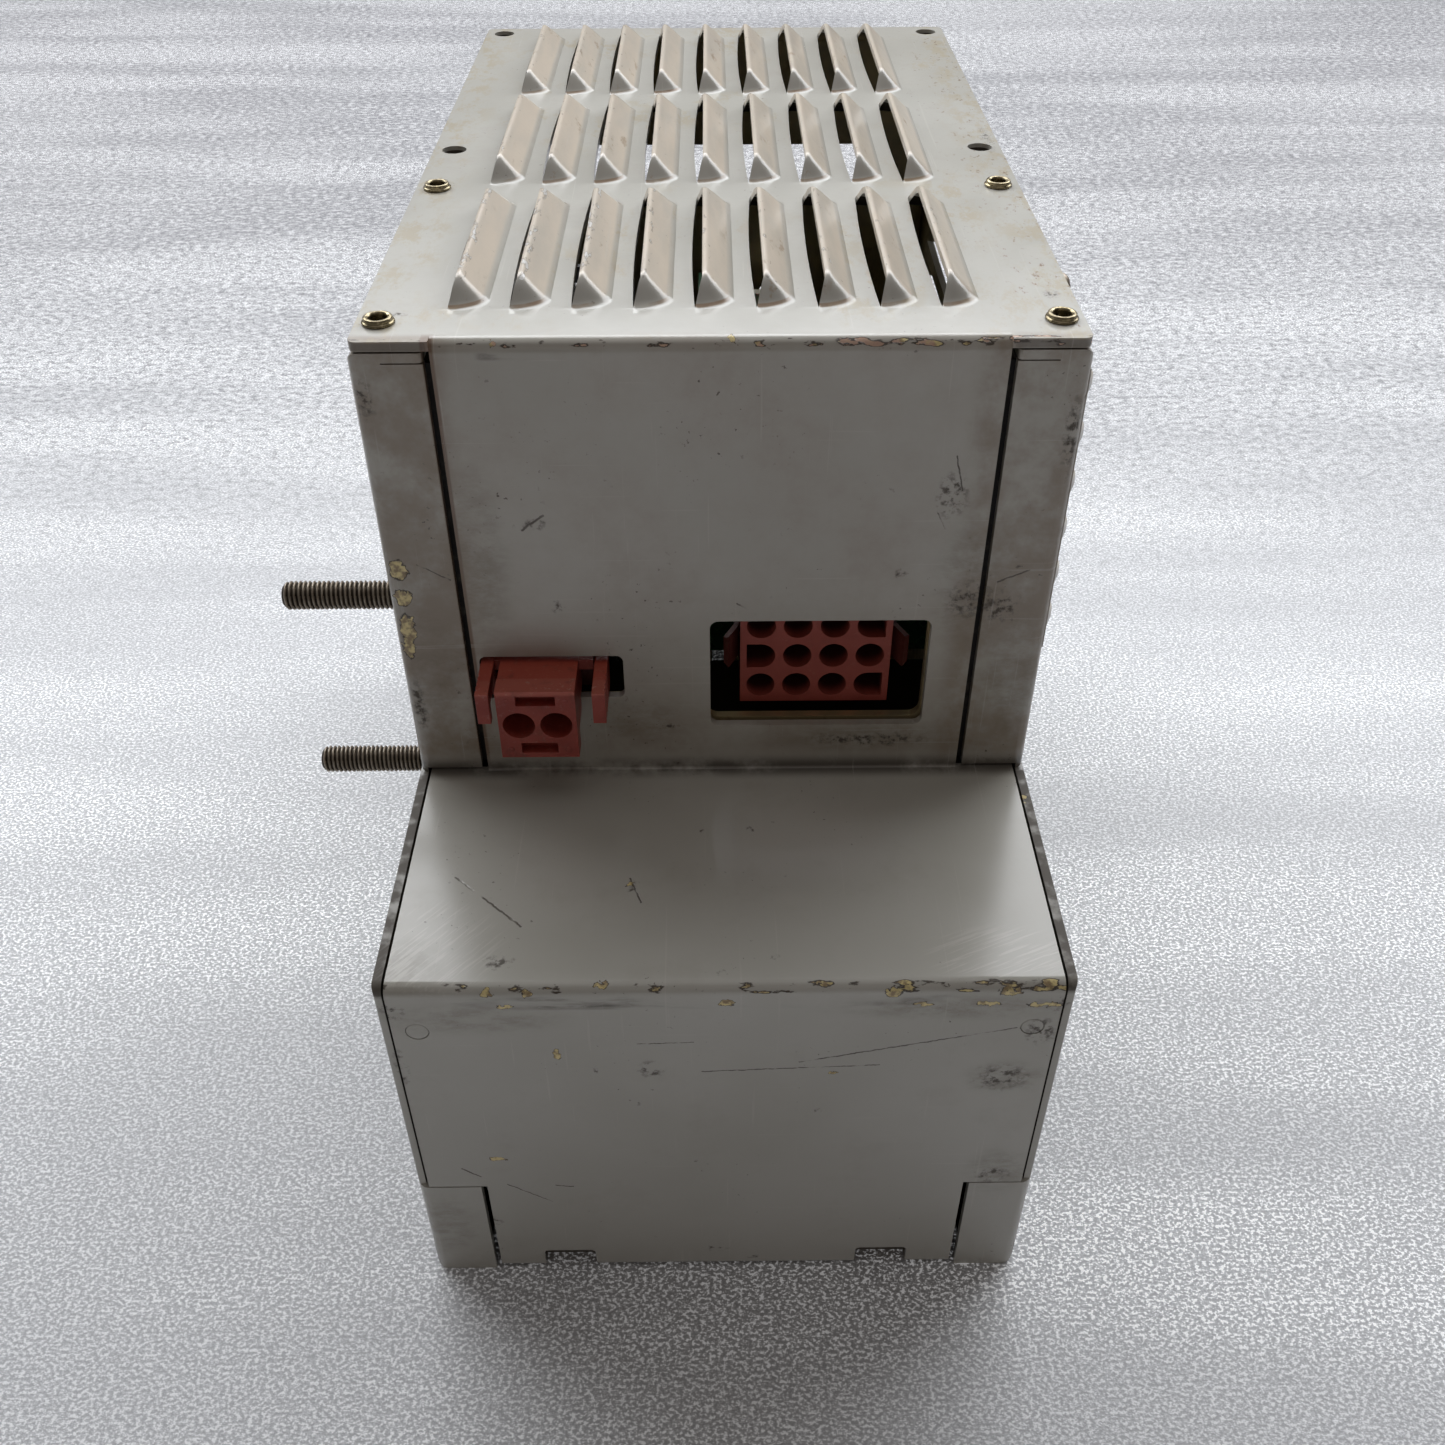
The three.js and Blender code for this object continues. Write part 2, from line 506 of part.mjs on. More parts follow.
function powerSocket() {
  const { x, z, face, rear } = SOCKET;
  const body = block(x[0], x[1], face, rear, z[0], z[1]);
  const noseHalf = PLUG.width / 2 - PLUG.noseInset + FIT + 0.1;
  const cavity = block(PLUG.x - noseHalf, PLUG.x + noseHalf, face - 1, face + 13, 98.3, 105.1);
  const pin = (dx) => rod('y', PLUG.x + dx, PLUG.pinZ, 0.7, face + 4, face + 14, 8);
  return join(cut(body, cavity), pin(-PLUG.wires / 2), pin(PLUG.wires / 2));
}

function powerPlug() {
  const { x, width, bottom, top, face, wires, wireZ, wireRadius, pinZ, noseInset } = PLUG;
  const half = width / 2;
  const across = [x - half, x + half];
  const frontBlock = block(...across, face, face + 3.6, bottom, top + 0.4);
  const waist = block(...across, face + 3, PANEL - 0.5, 95.4, top);
  const neck = block(...across, PANEL - 1, SOCKET.face - 0.4, 98, top);
  const nose = block(x - half + noseInset, x + half - noseInset, SOCKET.face - 1, SOCKET.face + 10,
    98.7, 104.7);
  const bridge = (arm) => {
    const side = Math.sign(arm - x);
    const edge = x + side * half;
    return block(edge - side, arm - side * (LATCH.thickness / 2 + FIT), LATCH.pivot - 0.6,
      LATCH.pivot + 0.6, 103.4, top - 0.2);
  };
  const cuts = [
    block(x - 3.3, x + 3.3, face - 1, face + 2, 103, 104.9),
    block(x - 3.1, x + 3.1, face - 1, face + 2, 92.8, 95),
  ];
  for (const dx of [-wires / 2, wires / 2]) {
    cuts.push(rod('y', x + dx, wireZ, wireRadius, face - 1, PANEL - 1.2, 18));
    cuts.push(rod('y', x + dx, pinZ, 0.95, PANEL - 2, SOCKET.face + 11, 8));
  }
  return cut(join(frontBlock, waist, neck, nose, bridge(LATCH.left), bridge(LATCH.right)), ...cuts);
}

function plugLatch(centre) {
  const inward = Math.sign(PLUG.x - centre);
  const half = LATCH.thickness / 2;
  const { pivot, front, rear } = LATCH;
  const arm = polygon([[centre - half, front], [centre + half, front], [centre + half, pivot + 1],
    [centre + half * 0.6, rear], [centre - half * 0.6, rear], [centre - half, pivot + 1]]);
  const plate = prism(arm, 'z', ...LATCH.z);
  const hook = block(centre, centre + inward * (half * 0.6 + 0.3), rear - 1.4, rear, 100.5, 104.2);
  return join(plate, hook);
}

function connectorBoard() {
  const { half, z, holeX, holeZ } = CONNECTOR_BOARD;
  const rear = CONNECTOR_BOARD_Y + BOARD;
  const sheet = block(-half, half, CONNECTOR_BOARD_Y, rear, ...z);
  const holes = [-holeX, holeX].map((x) => rod('y', x, holeZ, 1.6, CONNECTOR_BOARD_Y - 1, rear + 1, 10));
  return cut(sheet, ...holes);
}

function connectorSpacer(side) {
  const x = side * CONNECTOR_BOARD.holeX;
  const tube = rod('y', x, CONNECTOR_BOARD.holeZ, 2.75, BRACKET_Y + SHEET + 0.1, CONNECTOR_BOARD_Y - 0.1, 6);
  const shank = rod('y', x, CONNECTOR_BOARD.holeZ, 1.4, CONNECTOR_BOARD_Y - 1,
    CONNECTOR_BOARD_Y + 2 * BOARD, 8);
  return join(tube, shank);
}

function makeConnectors() {
  piece('connector_bracket', connectorBracket(), ZINC);
  piece('signal_header', signalHeader(), RED_PLASTIC);
  piece('header_ear_left', headerEar(-1), RED_PLASTIC);
  piece('header_ear_right', headerEar(1), RED_PLASTIC);
  piece('power_socket', powerSocket(), RED_PLASTIC);
  piece('power_plug', powerPlug(), RED_PLASTIC);
  piece('plug_latch_left', plugLatch(LATCH.left), RED_PLASTIC);
  piece('plug_latch_right', plugLatch(LATCH.right), RED_PLASTIC);
  piece('connector_board', connectorBoard(), CIRCUIT_BOARD);
  piece('connector_spacer_left', connectorSpacer(-1), BRASS);
  piece('connector_spacer_right', connectorSpacer(1), BRASS);
}

// ---- power electronics --------------------------------------------------------------------------

function heatSink() {
  const { x, base, fin, tip, fins, y, z } = HEAT_SINK;
  const plate = block(x - base, x, ...y, ...z);
  const pitch = (y[1] - y[0] - fin) / (fins - 1);
  const blades = Array.from({ length: fins }, (_, i) => block(tip, x - base + 1, y[0] + i * pitch,
    y[0] + i * pitch + fin, ...z));
  return join(plate, ...blades);
}

// A power module: a moulded block with a metal foot on the heat sink and screw terminals towards +X.
function powerModule(y0, y1, z0, z1) {
  const x = HEAT_SINK.x + 0.1;
  const foot = block(x, x + 3, y0, y1, z0, z1);
  const body = block(x + 2, x + 12, y0 + 1, y1 - 1, z0 + 7, z1 - 7);
  const count = 3;
  const terminals = Array.from({ length: count }, (_, i) => {
    const z = z0 + 14 + i * (z1 - z0 - 28) / (count - 1);
    return rod('x', (y0 + y1) / 2, z, 3, x + 11, x + 14, 6);
  });
  return join(foot, body, ...terminals);
}

function powerBoard() {
  const { x, y, z } = POWER_BOARD;
  return block(x - BOARD, x, ...y, ...z);
}

function controlBoard() {
  const { x, y, z } = CONTROL_BOARD;
  return block(x, x + BOARD, ...y, ...z);
}

function boardSpacer(y, z) {
  return rod('x', y, z, 2.75, POWER_BOARD.x + 0.1, CONTROL_BOARD.x - 0.1, 6);
}

function capacitor(x) {
  const { radius, height, y, base, terminals } = CAPACITOR;
  const can = [[0, base], [radius - 1, base], [radius, base + 1], [radius, base + height - 2],
    [radius - 1.5, base + height - 0.5], [radius - 2.5, base + height - 1.6], [0, base + height - 1.6]];
  const terminal = (dx) => rod('z', x + dx, y, 2.6, base + height - 3, base + height + 2.5, 10);
  return join(turned(can, 'z', [x, y, 0], 20), terminal(-terminals), terminal(terminals));
}

function capacitorClamp() {
  const { half, y, z, foot } = CLAMP;
  const plate = block(-half, half, ...y, z, z + SHEET);
  const leg = (side) => block(side * half, side * (half - SHEET), ...y, foot, z + SHEET);
  const holes = CAPACITOR.places.map((x) => rod('z', x, CAPACITOR.y, CAPACITOR.radius + FIT + 0.1,
    z - 1, z + 3, 20));
  return cut(join(plate, leg(1), leg(-1)), ...holes);
}

function lineChoke() {
  const { outer, inner, z, y, turns } = CHOKE;
  const ring = new THREE.Shape().absarc(0, 0, outer, 0, 2 * Math.PI);
  ring.holes.push(new THREE.Path().absarc(0, 0, inner, 0, 2 * Math.PI, true));
  const core = prism(ring, 'z', ...z, 12).translate([0, y, 0]);
  const middle = (outer + inner) / 2 + 0.1;
  const bars = Array.from({ length: turns }, (_, i) => {
    const angle = i * 2 * Math.PI / turns;
    const bar = new THREE.BoxGeometry(outer - inner + 2.6, 3, z[1] - z[0] + 3).rotateZ(angle)
      .translate(middle * Math.cos(angle), middle * Math.sin(angle) + y, (z[0] + z[1]) / 2);
    return solid(bar);
  });
  return join(core, ...bars);
}

function currentSensor(y) {
  const { depth, width, z, bore } = SENSOR;
  const x = POWER_BOARD.x + 0.1;
  const body = block(x, x + depth, y, y + width, ...z);
  return cut(body, rod('y', x + 8, (z[0] + z[1]) / 2, bore, y - 1, y + width + 1, 16));
}

function relay() {
  const x = POWER_BOARD.x + 0.1;
  return join(block(x, x + 16, 66, 95, 46, 59), block(x + 15, x + 16.6, 67, 94, 47, 58));
}

function chip(x, y0, y1, z0, z1, height) {
  return join(block(x + 0.6, x + height, y0, y1, z0, z1),
    block(x, x + 1, y0 + 1, y1 - 1, z0 - 1.6, z1 + 1.6));
}

function busConnector() {
  const { x, z } = BUS_CONNECTOR;
  const from = CONTROL_BOARD.y[1] + 0.4;
  const shell = block(x[0], x[1], from, REAR + 1.5, ...z);
  const well = block(x[0] + 1.4, x[1] - 1.4, from + 6, REAR + 3, z[0] + 4, z[1] - 4);
  const rail = (dx) => block(x[0] + dx, x[0] + dx + 0.8, from + 5, REAR - 0.5, z[0] + 6, z[1] - 6);
  return join(cut(shell, well), rail(3), rail(6.8));
}

// A lead bundle along a smooth route, from one terminal to the other.
function lead(points, radius) {
  const route = new THREE.CatmullRomCurve3(points.map((p) => new THREE.Vector3(...p)), false,
    'centripetal');
  const section = new THREE.Shape().absarc(0, 0, radius, 0, 2 * Math.PI);
  const steps = Math.round(route.getLength() / 6);
  return solid(new THREE.ExtrudeGeometry(section, { steps, extrudePath: route, curveSegments: 4 }));
}

function makePowerSection() {
  piece('heat_sink', heatSink(), ALUMINIUM);
  MODULES.bridges.forEach((y, i) => {
    const bridge = powerModule(y, y + MODULES.bridgeWidth, ...MODULES.bridgeZ);
    piece(`power_module_${i + 1}`, bridge, BLACK_PLASTIC);
  });
  piece('rectifier_module', powerModule(...MODULES.rectifierY, ...MODULES.rectifierZ), BLACK_PLASTIC);
  piece('power_board', powerBoard(), CIRCUIT_BOARD);
  piece('current_sensor_1', currentSensor(SENSOR.first), BLACK_PLASTIC);
  piece('current_sensor_2', currentSensor(SENSOR.first + SENSOR.pitch), BLACK_PLASTIC);
  piece('relay', relay(), RELAY_PLASTIC);
  CAPACITOR.places.forEach((x, i) => piece(`link_capacitor_${i + 1}`, capacitor(x), CAPACITOR_SLEEVE));
  piece('capacitor_clamp', capacitorClamp(), ZINC);
  piece('line_choke', lineChoke(), COPPER);
  piece('capacitor_lead', lead([[0, CAPACITOR.y + 14, 75], [0, FRONT + 42, 76.4], [-3.6, PANEL + 6, 66],
    [-3.6, PANEL + 16, 52], [-3.8, POWER_BOARD.y[0] - 2, 44]], 1.6), LEAD_INSULATION);
  const boardRear = CONNECTOR_BOARD_Y + BOARD;
  piece('socket_lead', lead([[-34, boardRear + 0.8, 93], [-31, boardRear + 2.2, 91],
    [-14, boardRear + 2.4, 94], [-4, POWER_BOARD.y[0] - 1.4, 98]], 0.9), LEAD_INSULATION);
}

// ---- control electronics ------------------------------------------------------------------------

function makeControlSection() {
  const face = CONTROL_BOARD.x + BOARD + 0.1;
  piece('control_board', controlBoard(), CIRCUIT_BOARD);
  piece('processor', chip(face, 20, 44, 40, 64, 4), BLACK_PLASTIC);
  piece('memory_chip_1', chip(face, 52, 68, 40, 76, 5), BLACK_PLASTIC);
  piece('memory_chip_2', chip(face, 74, 90, 40, 76, 5), BLACK_PLASTIC);
  [[-22, 14], [94, 14], [-22, 103], [94, 103]].forEach(([y, z], i) => {
    piece(`board_spacer_${i + 1}`, boardSpacer(y, z), NYLON);
  });
  piece('bus_connector', busConnector(), RELAY_PLASTIC);
}

makeCase();
makeConnectors();
makePowerSection();
makeControlSection();

export default drive;
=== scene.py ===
# Looks for the servo drive: fine sheet metal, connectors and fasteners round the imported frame,
# procedural finishes for every piece, a pale floor, soft light and the camera.

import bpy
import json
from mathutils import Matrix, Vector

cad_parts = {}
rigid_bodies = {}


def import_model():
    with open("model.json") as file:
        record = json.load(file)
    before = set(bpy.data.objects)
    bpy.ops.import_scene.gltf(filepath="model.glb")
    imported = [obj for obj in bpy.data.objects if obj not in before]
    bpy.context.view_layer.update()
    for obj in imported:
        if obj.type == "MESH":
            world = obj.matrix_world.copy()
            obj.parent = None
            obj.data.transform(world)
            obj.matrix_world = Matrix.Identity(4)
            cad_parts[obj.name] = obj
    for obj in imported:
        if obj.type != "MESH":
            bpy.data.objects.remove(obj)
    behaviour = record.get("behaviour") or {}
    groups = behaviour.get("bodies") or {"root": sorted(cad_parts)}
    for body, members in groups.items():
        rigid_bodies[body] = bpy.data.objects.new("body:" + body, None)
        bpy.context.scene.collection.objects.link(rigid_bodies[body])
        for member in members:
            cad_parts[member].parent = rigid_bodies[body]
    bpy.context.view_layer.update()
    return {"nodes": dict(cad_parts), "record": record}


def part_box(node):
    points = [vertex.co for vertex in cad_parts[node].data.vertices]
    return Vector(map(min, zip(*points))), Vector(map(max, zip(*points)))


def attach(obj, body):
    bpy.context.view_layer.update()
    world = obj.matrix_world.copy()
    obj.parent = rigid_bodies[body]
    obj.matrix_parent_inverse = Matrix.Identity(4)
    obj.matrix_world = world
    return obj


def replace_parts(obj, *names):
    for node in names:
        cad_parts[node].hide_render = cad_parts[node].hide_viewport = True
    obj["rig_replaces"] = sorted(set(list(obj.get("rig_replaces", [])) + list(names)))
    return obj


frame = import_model()

import json
import math

import bmesh
import bpy
from mathutils import Matrix, Vector

MM = 0.001

# ---- sizes, in millimetres, taken from the frame ------------------------


def box_mm(node):
    low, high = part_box(node)
    return low / MM, high / MM


def middle_of(node):
    low, high = box_mm(node)
    return (low + high) / 2


COVER_LOW, COVER_HIGH = box_mm("front_cover")
WALL_LOW, WALL_HIGH = box_mm("left_side_wall")
BRACKET_LOW, _ = box_mm("connector_bracket")
HEADER_LOW, HEADER_HIGH = box_mm("signal_header")
PLUG_LOW, PLUG_HIGH = box_mm("power_plug")

SHEET = 1.5
BEND = 2.0                                   # outer radius of a sheet bend
FRONT = COVER_LOW.y                          # outer face of the lower front panel
REAR = COVER_HIGH.y
PANEL = BRACKET_LOW.y - 2.0                  # outer face of the upper front panel
WALL = -WALL_LOW.x                           # outer face of a side wall
WALL_IN = WALL - SHEET
WALL_TOP = WALL_HIGH.z
TOP = WALL_TOP + SHEET + 0.3                 # outer face of the top plate
PLATE = COVER_HIGH.x                         # side edge of the top plate
SHELF = 81.0                                 # top of the low box in front
PANEL_HALF = 42.2                            # half width of the front panels between the flanges
FLANGE_IN = 43.3                             # inner edge of the walls' front flanges
TAB_HEIGHT = 27.2

TOP_LOUVRE = {"length": 46.8, "width": 5.7, "height": 3.35, "taper": 3.9, "corner": 2.9}
SIDE_LOUVRE = {"length": 46.8, "width": 4.4, "height": 2.35, "taper": 4.8, "corner": 2.0}
LOUVRE_PITCH = 54.6
FIELD_MARGIN = {"top": 2.0, "side": 1.6}     # plain sheet round a louvre field
TOP_LOUVRE_X = [-40.9 + 9.28 * i for i in range(9)]
TOP_LOUVRE_Y = [PANEL + 11.2 + LOUVRE_PITCH * i for i in range(3)]
SIDE_LOUVRE_Z = [151.6 - 8.65 * i for i in range(5, -1, -1)]
SIDE_LOUVRE_Y = [PANEL + 2.8 + LOUVRE_PITCH * i for i in range(3)]

BUSH_NODES = ["rivet_bush_" + place for place in ("front_left", "front_right", "rear_left", "rear_right")]
STUD_NODES = ["mounting_stud_upper", "mounting_stud_lower"]
PLAIN_HOLES = [(-50.0, PANEL + 85.1), (50.0, PANEL + 85.1), (-49.8, REAR - 4.5), (49.8, REAR - 4.5)]
HOLE_RADIUS = 2.3
HOOK_X = 29.1                                # the middle of a hook slot at the foot of the front

# ---- mesh tools ------------------------

PLACE = {
    "x": lambda u, v, w: (w, u, v),
    "y": lambda u, v, w: (u, w, v),
    "z": lambda u, v, w: (u, v, w),
}


def add_object(name, data):
    """An object in the scene that shows some data."""
    added = bpy.data.objects.new(name, data)
    bpy.context.scene.collection.objects.link(added)
    return added


def new_object(name, points, faces):
    """A mesh object from points in millimetres, with its faces turned outwards."""
    mesh = bpy.data.meshes.new(name)
    mesh.from_pydata([Vector(point) * MM for point in points], [], faces)
    turned_out = bmesh.new()
    turned_out.from_mesh(mesh)
    bmesh.ops.recalc_face_normals(turned_out, faces=turned_out.faces)
    turned_out.to_mesh(mesh)
    turned_out.free()
    return add_object(name, mesh)


def prism(outline, axis, start, end):
    """An outline pushed along an axis. Its directions are (Y, Z) along x, (X, Z) along y, (X, Y) along z."""
    count = len(outline)
    points = [PLACE[axis](u, v, w) for w in (start, end) for u, v in outline]
    sides = [(i, (i + 1) % count, count + (i + 1) % count, count + i) for i in range(count)]
    return new_object("prism", points, [tuple(range(count)), tuple(range(count, 2 * count)), *sides])


def block(x, y, z):
    return prism([(x[0], y[0]), (x[1], y[0]), (x[1], y[1]), (x[0], y[1])], "z", *z)


def span_of(centre, half):
    return (centre - half, centre + half)


def span(side, inner, outer):
    """From an inner to an outer distance on the left (-1) or the right (1)."""
    return tuple(sorted((side * inner, side * outer)))


def arc(centre, radius, start, end, steps):
    """Points on an arc, with its angles in degrees."""
    angles = [math.radians(start + (end - start) * i / steps) for i in range(steps + 1)]
    return [(centre[0] + radius * math.cos(a), centre[1] + radius * math.sin(a)) for a in angles]


def rounded_rectangle(u, v, radius, steps=8):
    corners = [(u[1] - radius, v[1] - radius), (u[0] + radius, v[1] - radius),
               (u[0] + radius, v[0] + radius), (u[1] - radius, v[0] + radius)]
    return [point for i, corner in enumerate(corners)
            for point in arc(corner, radius, 90 * i, 90 * i + 90, steps)]


def rod(axis, u, v, radius, start, end, sides=40):
    return prism(arc((u, v), radius, 0, 360 - 360 / sides, sides - 1), axis, start, end)


def turned(profile, axis, centre, sides=48):
    """A body of revolution: (radius, height) points from axis to axis, or a closed ring's outline."""
    points = []
    rows = []
    for radius, height in profile:
        count = 1 if radius == 0 else sides
        rows.append([len(points) + i % count for i in range(sides)])
        for i in range(count):
            angle = 2 * math.pi * i / sides
            u, v, w = radius * math.cos(angle), radius * math.sin(angle), height
            points.append(Vector(PLACE[axis](u, v, w)) + Vector(centre))
    if profile[0][0] > 0:
        rows.append(rows[0])
    return new_object("turned", points, band_faces(rows))


def band_faces(rows):
    """The faces between neighbouring rings of points, with any points that coincide left out."""
    faces = []
    for low, high in zip(rows, rows[1:]):
        for i in range(len(low)):
            j = (i + 1) % len(low)
            corners = list(dict.fromkeys((low[i], low[j], high[j], high[i])))
            if len(corners) > 2:
                faces.append(corners)
    return faces


def bent_outline(corners, steps=8):
    """The outline of a bent sheet whose middle line runs through the corners."""
    middle = BEND - SHEET / 2
    line = []
    path = [Vector(corner) for corner in corners]
    for i, corner in enumerate(path):
        before = (corner - path[i - 1]).normalized() if i else None
        after = (path[i + 1] - corner).normalized() if i + 1 < len(path) else None
        if before is None or after is None:
            line.append((corner, (before or after).orthogonal()))
            continue
        turn = -before.angle_signed(after)
        start = corner - before * middle * math.tan(abs(turn) / 2)
        side = math.copysign(1, turn)
        centre = start + before.orthogonal() * side * middle
        for k in range(steps + 1):
            normal = Matrix.Rotation(turn * k / steps, 2) @ before.orthogonal()
            line.append((centre - normal * side * middle, normal))
    left = [point + normal * SHEET / 2 for point, normal in line]
    right = [point - normal * SHEET / 2 for point, normal in line]
    return [tuple(point) for point in left + right[::-1]]


def apply_modifiers(piece):
    shown = piece.evaluated_get(bpy.context.evaluated_depsgraph_get())
    mesh = bpy.data.meshes.new_from_object(shown)
    piece.modifiers.clear()
    piece.data = mesh


def combine(body, operation, *others):
    """Joins others to body (UNION), or cuts body by them (DIFFERENCE or INTERSECT)."""
    for other in others:
        modifier = body.modifiers.new(operation, "BOOLEAN")
        modifier.operation = operation
        modifier.solver = "EXACT"
        modifier.object = other
    apply_modifiers(body)
    for other in others:
        bpy.data.objects.remove(other)
    return body


def join(body, *others):
    return combine(body, "UNION", *others)


def cut(body, *others):
    return combine(body, "DIFFERENCE", *others)


def join_apart(pieces):
    """One mesh out of pieces that don't touch each other."""
    points = []
    faces = []
    for piece in pieces:
        faces += [[len(points) + i for i in polygon.vertices] for polygon in piece.data.polygons]
        points += [vertex.co / MM for vertex in piece.data.vertices]
        bpy.data.objects.remove(piece)
    return new_object("pieces", points, faces)


def round_edges(piece, width):
    """A small radius on every edge sharper than 40 degrees."""
    bevel = piece.modifiers.new("edges", "BEVEL")
    bevel.width = width * MM
    bevel.segments = 2
    bevel.limit_method = "ANGLE"
    bevel.angle_limit = math.radians(40)


def soften(piece, width):
    """Small radii on the sharp edges, with the flat faces kept flat in the shading."""
    for polygon in piece.data.polygons:
        polygon.use_smooth = True
    round_edges(piece, width)
    weighted = piece.modifiers.new("flat_faces", "WEIGHTED_NORMAL")
    weighted.keep_sharp = True
    weighted.weight = 100
    return piece


def finish_piece(piece, name, materials, body, nodes):
    piece.name = name
    piece.data.name = name
    piece.data.materials.clear()
    for material in materials:
        piece.data.materials.append(material)
    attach(piece, body)
    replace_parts(piece, *nodes)
    return piece


# ---- louvres ------------------------

LIP = {"cut": 1.1, "peak": 2.15, "roll": 0.8}   # across a louvre: its cut edge and its highest line
CREASE = 1.4                                 # softness of the folds between a louvre's facets
FOOT = 0.8                                   # softness of the fold round its foot
BOW = 0.6                                    # how far a slot's edge in the sheet bows outward
HOOD_SHARES = [0, 0.05, 0.1, 0.15, 0.2, 0.26, 0.33, 0.45, 0.57, 0.69, 0.8, 0.88, 0.94, 1]   # lip to foot


def smooth_min(a, b, softness):
    share = max(softness - abs(a - b), 0) / softness
    return min(a, b) - share * share * softness / 4


def hood_height(size, across, along):
    """Height of a louvre's outer skin over the sheet."""
    width, height, taper = size["width"], size["height"], size["taper"]
    slope = height * (width - across) / (width - LIP["peak"])
    if across < LIP["peak"]:
        inward = (LIP["peak"] - across) / (LIP["peak"] - LIP["cut"])
        slope -= LIP["roll"] * min(inward, 1) ** 2
    foot = size["corner"] * (across / width) ** 2
    reach = taper - size["corner"] * (LIP["peak"] / width) ** 2
    near = height * (along - foot) / reach
    far = height * (size["length"] - along - foot) / reach
    facets = smooth_min(slope, smooth_min(near, far, CREASE), CREASE)
    return -smooth_min(-facets, 0, FOOT)


def along_lines(size):
    """Grid lines along a louvre: close together over its two ends."""
    close = [0.4 * i for i in range(16)]
    middle = [6 + (size["length"] - 12) * (i + 1) / 7 for i in range(6)]
    far = [size["length"] - t for t in close[::-1]]
    return [-0.5, -0.25, *close, *middle, *far, size["length"] + 0.25, size["length"] + 0.5]


def field_columns(size, starts, margin):
    """Lines across a louvre field: where each starts, what it lies on, and its share of a hood."""
    columns = [(starts[0] - margin, "sheet", 0)]
    for start in starts:
        columns += [(start, "slot", 0)] + [(start, "hood", share) for share in HOOD_SHARES]
        columns += [(start + size["width"] + past, "sheet", 0) for past in (0.2, 0.5)]
    return columns + [(starts[-1] + size["width"] + margin, "sheet", 0)]


def field_lines(size, starts, margin):
    """Lines along a louvre field: the place of each one, and the start of the louvre it crosses."""
    lines = [(t, start) for start in starts for t in along_lines(size)]
    return [(starts[0] - margin, None), *lines, (starts[-1] + size["length"] + margin, None)]


def skin_points(size, column, line, place):
    """The points on the outer and the inner skin where two lines of a louvre field cross."""
    across_start, kind, share = column
    offset, along_start = line
    on_louvre = along_start is not None
    along = along_start + offset if on_louvre else offset
    inside = max(0, min(offset, size["length"] - offset)) if on_louvre else 0
    middle = 1 - (2 * inside / size["length"] - 1) ** 2
    lip = LIP["cut"] * min(1, inside / size["taper"])
    across = {"sheet": 0, "slot": -BOW * middle, "hood": lip + share * (size["width"] - lip)}[kind]
    raised = kind == "hood" and on_louvre and (share > 0 or inside > 0)
    height = hood_height(size, across, offset) if raised else 0
    thin = 0.35 * min(1, height)
    across += across_start
    return place(across, along, height), place(across, along, height - SHEET + thin)


def is_open(line, after, size):
    """Whether a louvre's slot is open between two lines."""
    if line[1] is None or line[1] != after[1]:
        return False
    return line[0] >= 0 and after[0] <= size["length"]


def skin_faces(quads, outer, inner):
    """The faces of both skins over the given squares of the grid, and the rims between the skins."""
    faces = []
    rims = {}
    for quad in quads:
        ring = list(dict.fromkeys(outer[i][j] for i, j in quad))
        if len(ring) < 3:
            continue
        faces.append(ring)
        faces.append(list(dict.fromkeys(inner[i][j] for i, j in quad))[::-1])
        below = {outer[i][j]: inner[i][j] for i, j in quad}
        for a, b in zip(ring, ring[1:] + ring[:1]):
            if (b, a) in rims:
                del rims[(b, a)]
            else:
                rims[(a, b)] = (below[b], below[a])
    return faces + [[b, a, d, c] for (a, b), (c, d) in rims.items()]


def louvre_field(size, starts_across, starts_along, margin, place):
    """A closed patch of sheet with a grid of louvres, open at each one's slot."""
    columns = field_columns(size, starts_across, margin)
    lines = field_lines(size, starts_along, margin)
    index = {}
    points = []

    def number(point):
        key = tuple(round(value, 4) for value in point)
        if key not in index:
            index[key] = len(points)
            points.append(point)
        return index[key]

    skins = [[skin_points(size, column, line, place) for line in lines] for column in columns]
    outer = [[number(pair[0]) for pair in row] for row in skins]
    inner = [[number(pair[1]) for pair in row] for row in skins]
    quads = [[(i, j), (i + 1, j), (i + 1, j + 1), (i, j + 1)]
             for i in range(len(columns) - 1) for j in range(len(lines) - 1)
             if columns[i][1] != "slot" or not is_open(lines[j], lines[j + 1], size)]
    return new_object("louvres", points, skin_faces(quads, outer, inner))


# ---- sheet metal ------------------------


def top_louvres():
    return louvre_field(TOP_LOUVRE, TOP_LOUVRE_X, TOP_LOUVRE_Y, FIELD_MARGIN["top"],
                        lambda x, y, z: (x, y, TOP + z))


def side_louvres():
    return louvre_field(SIDE_LOUVRE, SIDE_LOUVRE_Z, SIDE_LOUVRE_Y, FIELD_MARGIN["side"],
                        lambda z, y, x: (WALL + x, y, z))


def window(size, starts_across, starts_along, margin):
    """The rectangle that a louvre field fills."""
    return ((starts_across[0] - margin, starts_across[-1] + size["width"] + margin),
            (starts_along[0] - margin, starts_along[-1] + size["length"] + margin))


def plate_outline():
    """The top plate seen from above, without the part that is bent down into the upper panel."""
    corner = 1.3
    right = [(PANEL_HALF, PANEL + BEND), (PANEL_HALF, PANEL)]
    right += arc((PLATE - corner, PANEL + corner), corner, -90, 0, 6)
    right += arc((PLATE - corner, REAR - corner), corner, 0, 90, 6)
    return right + [(-x, y) for x, y in reversed(right)]


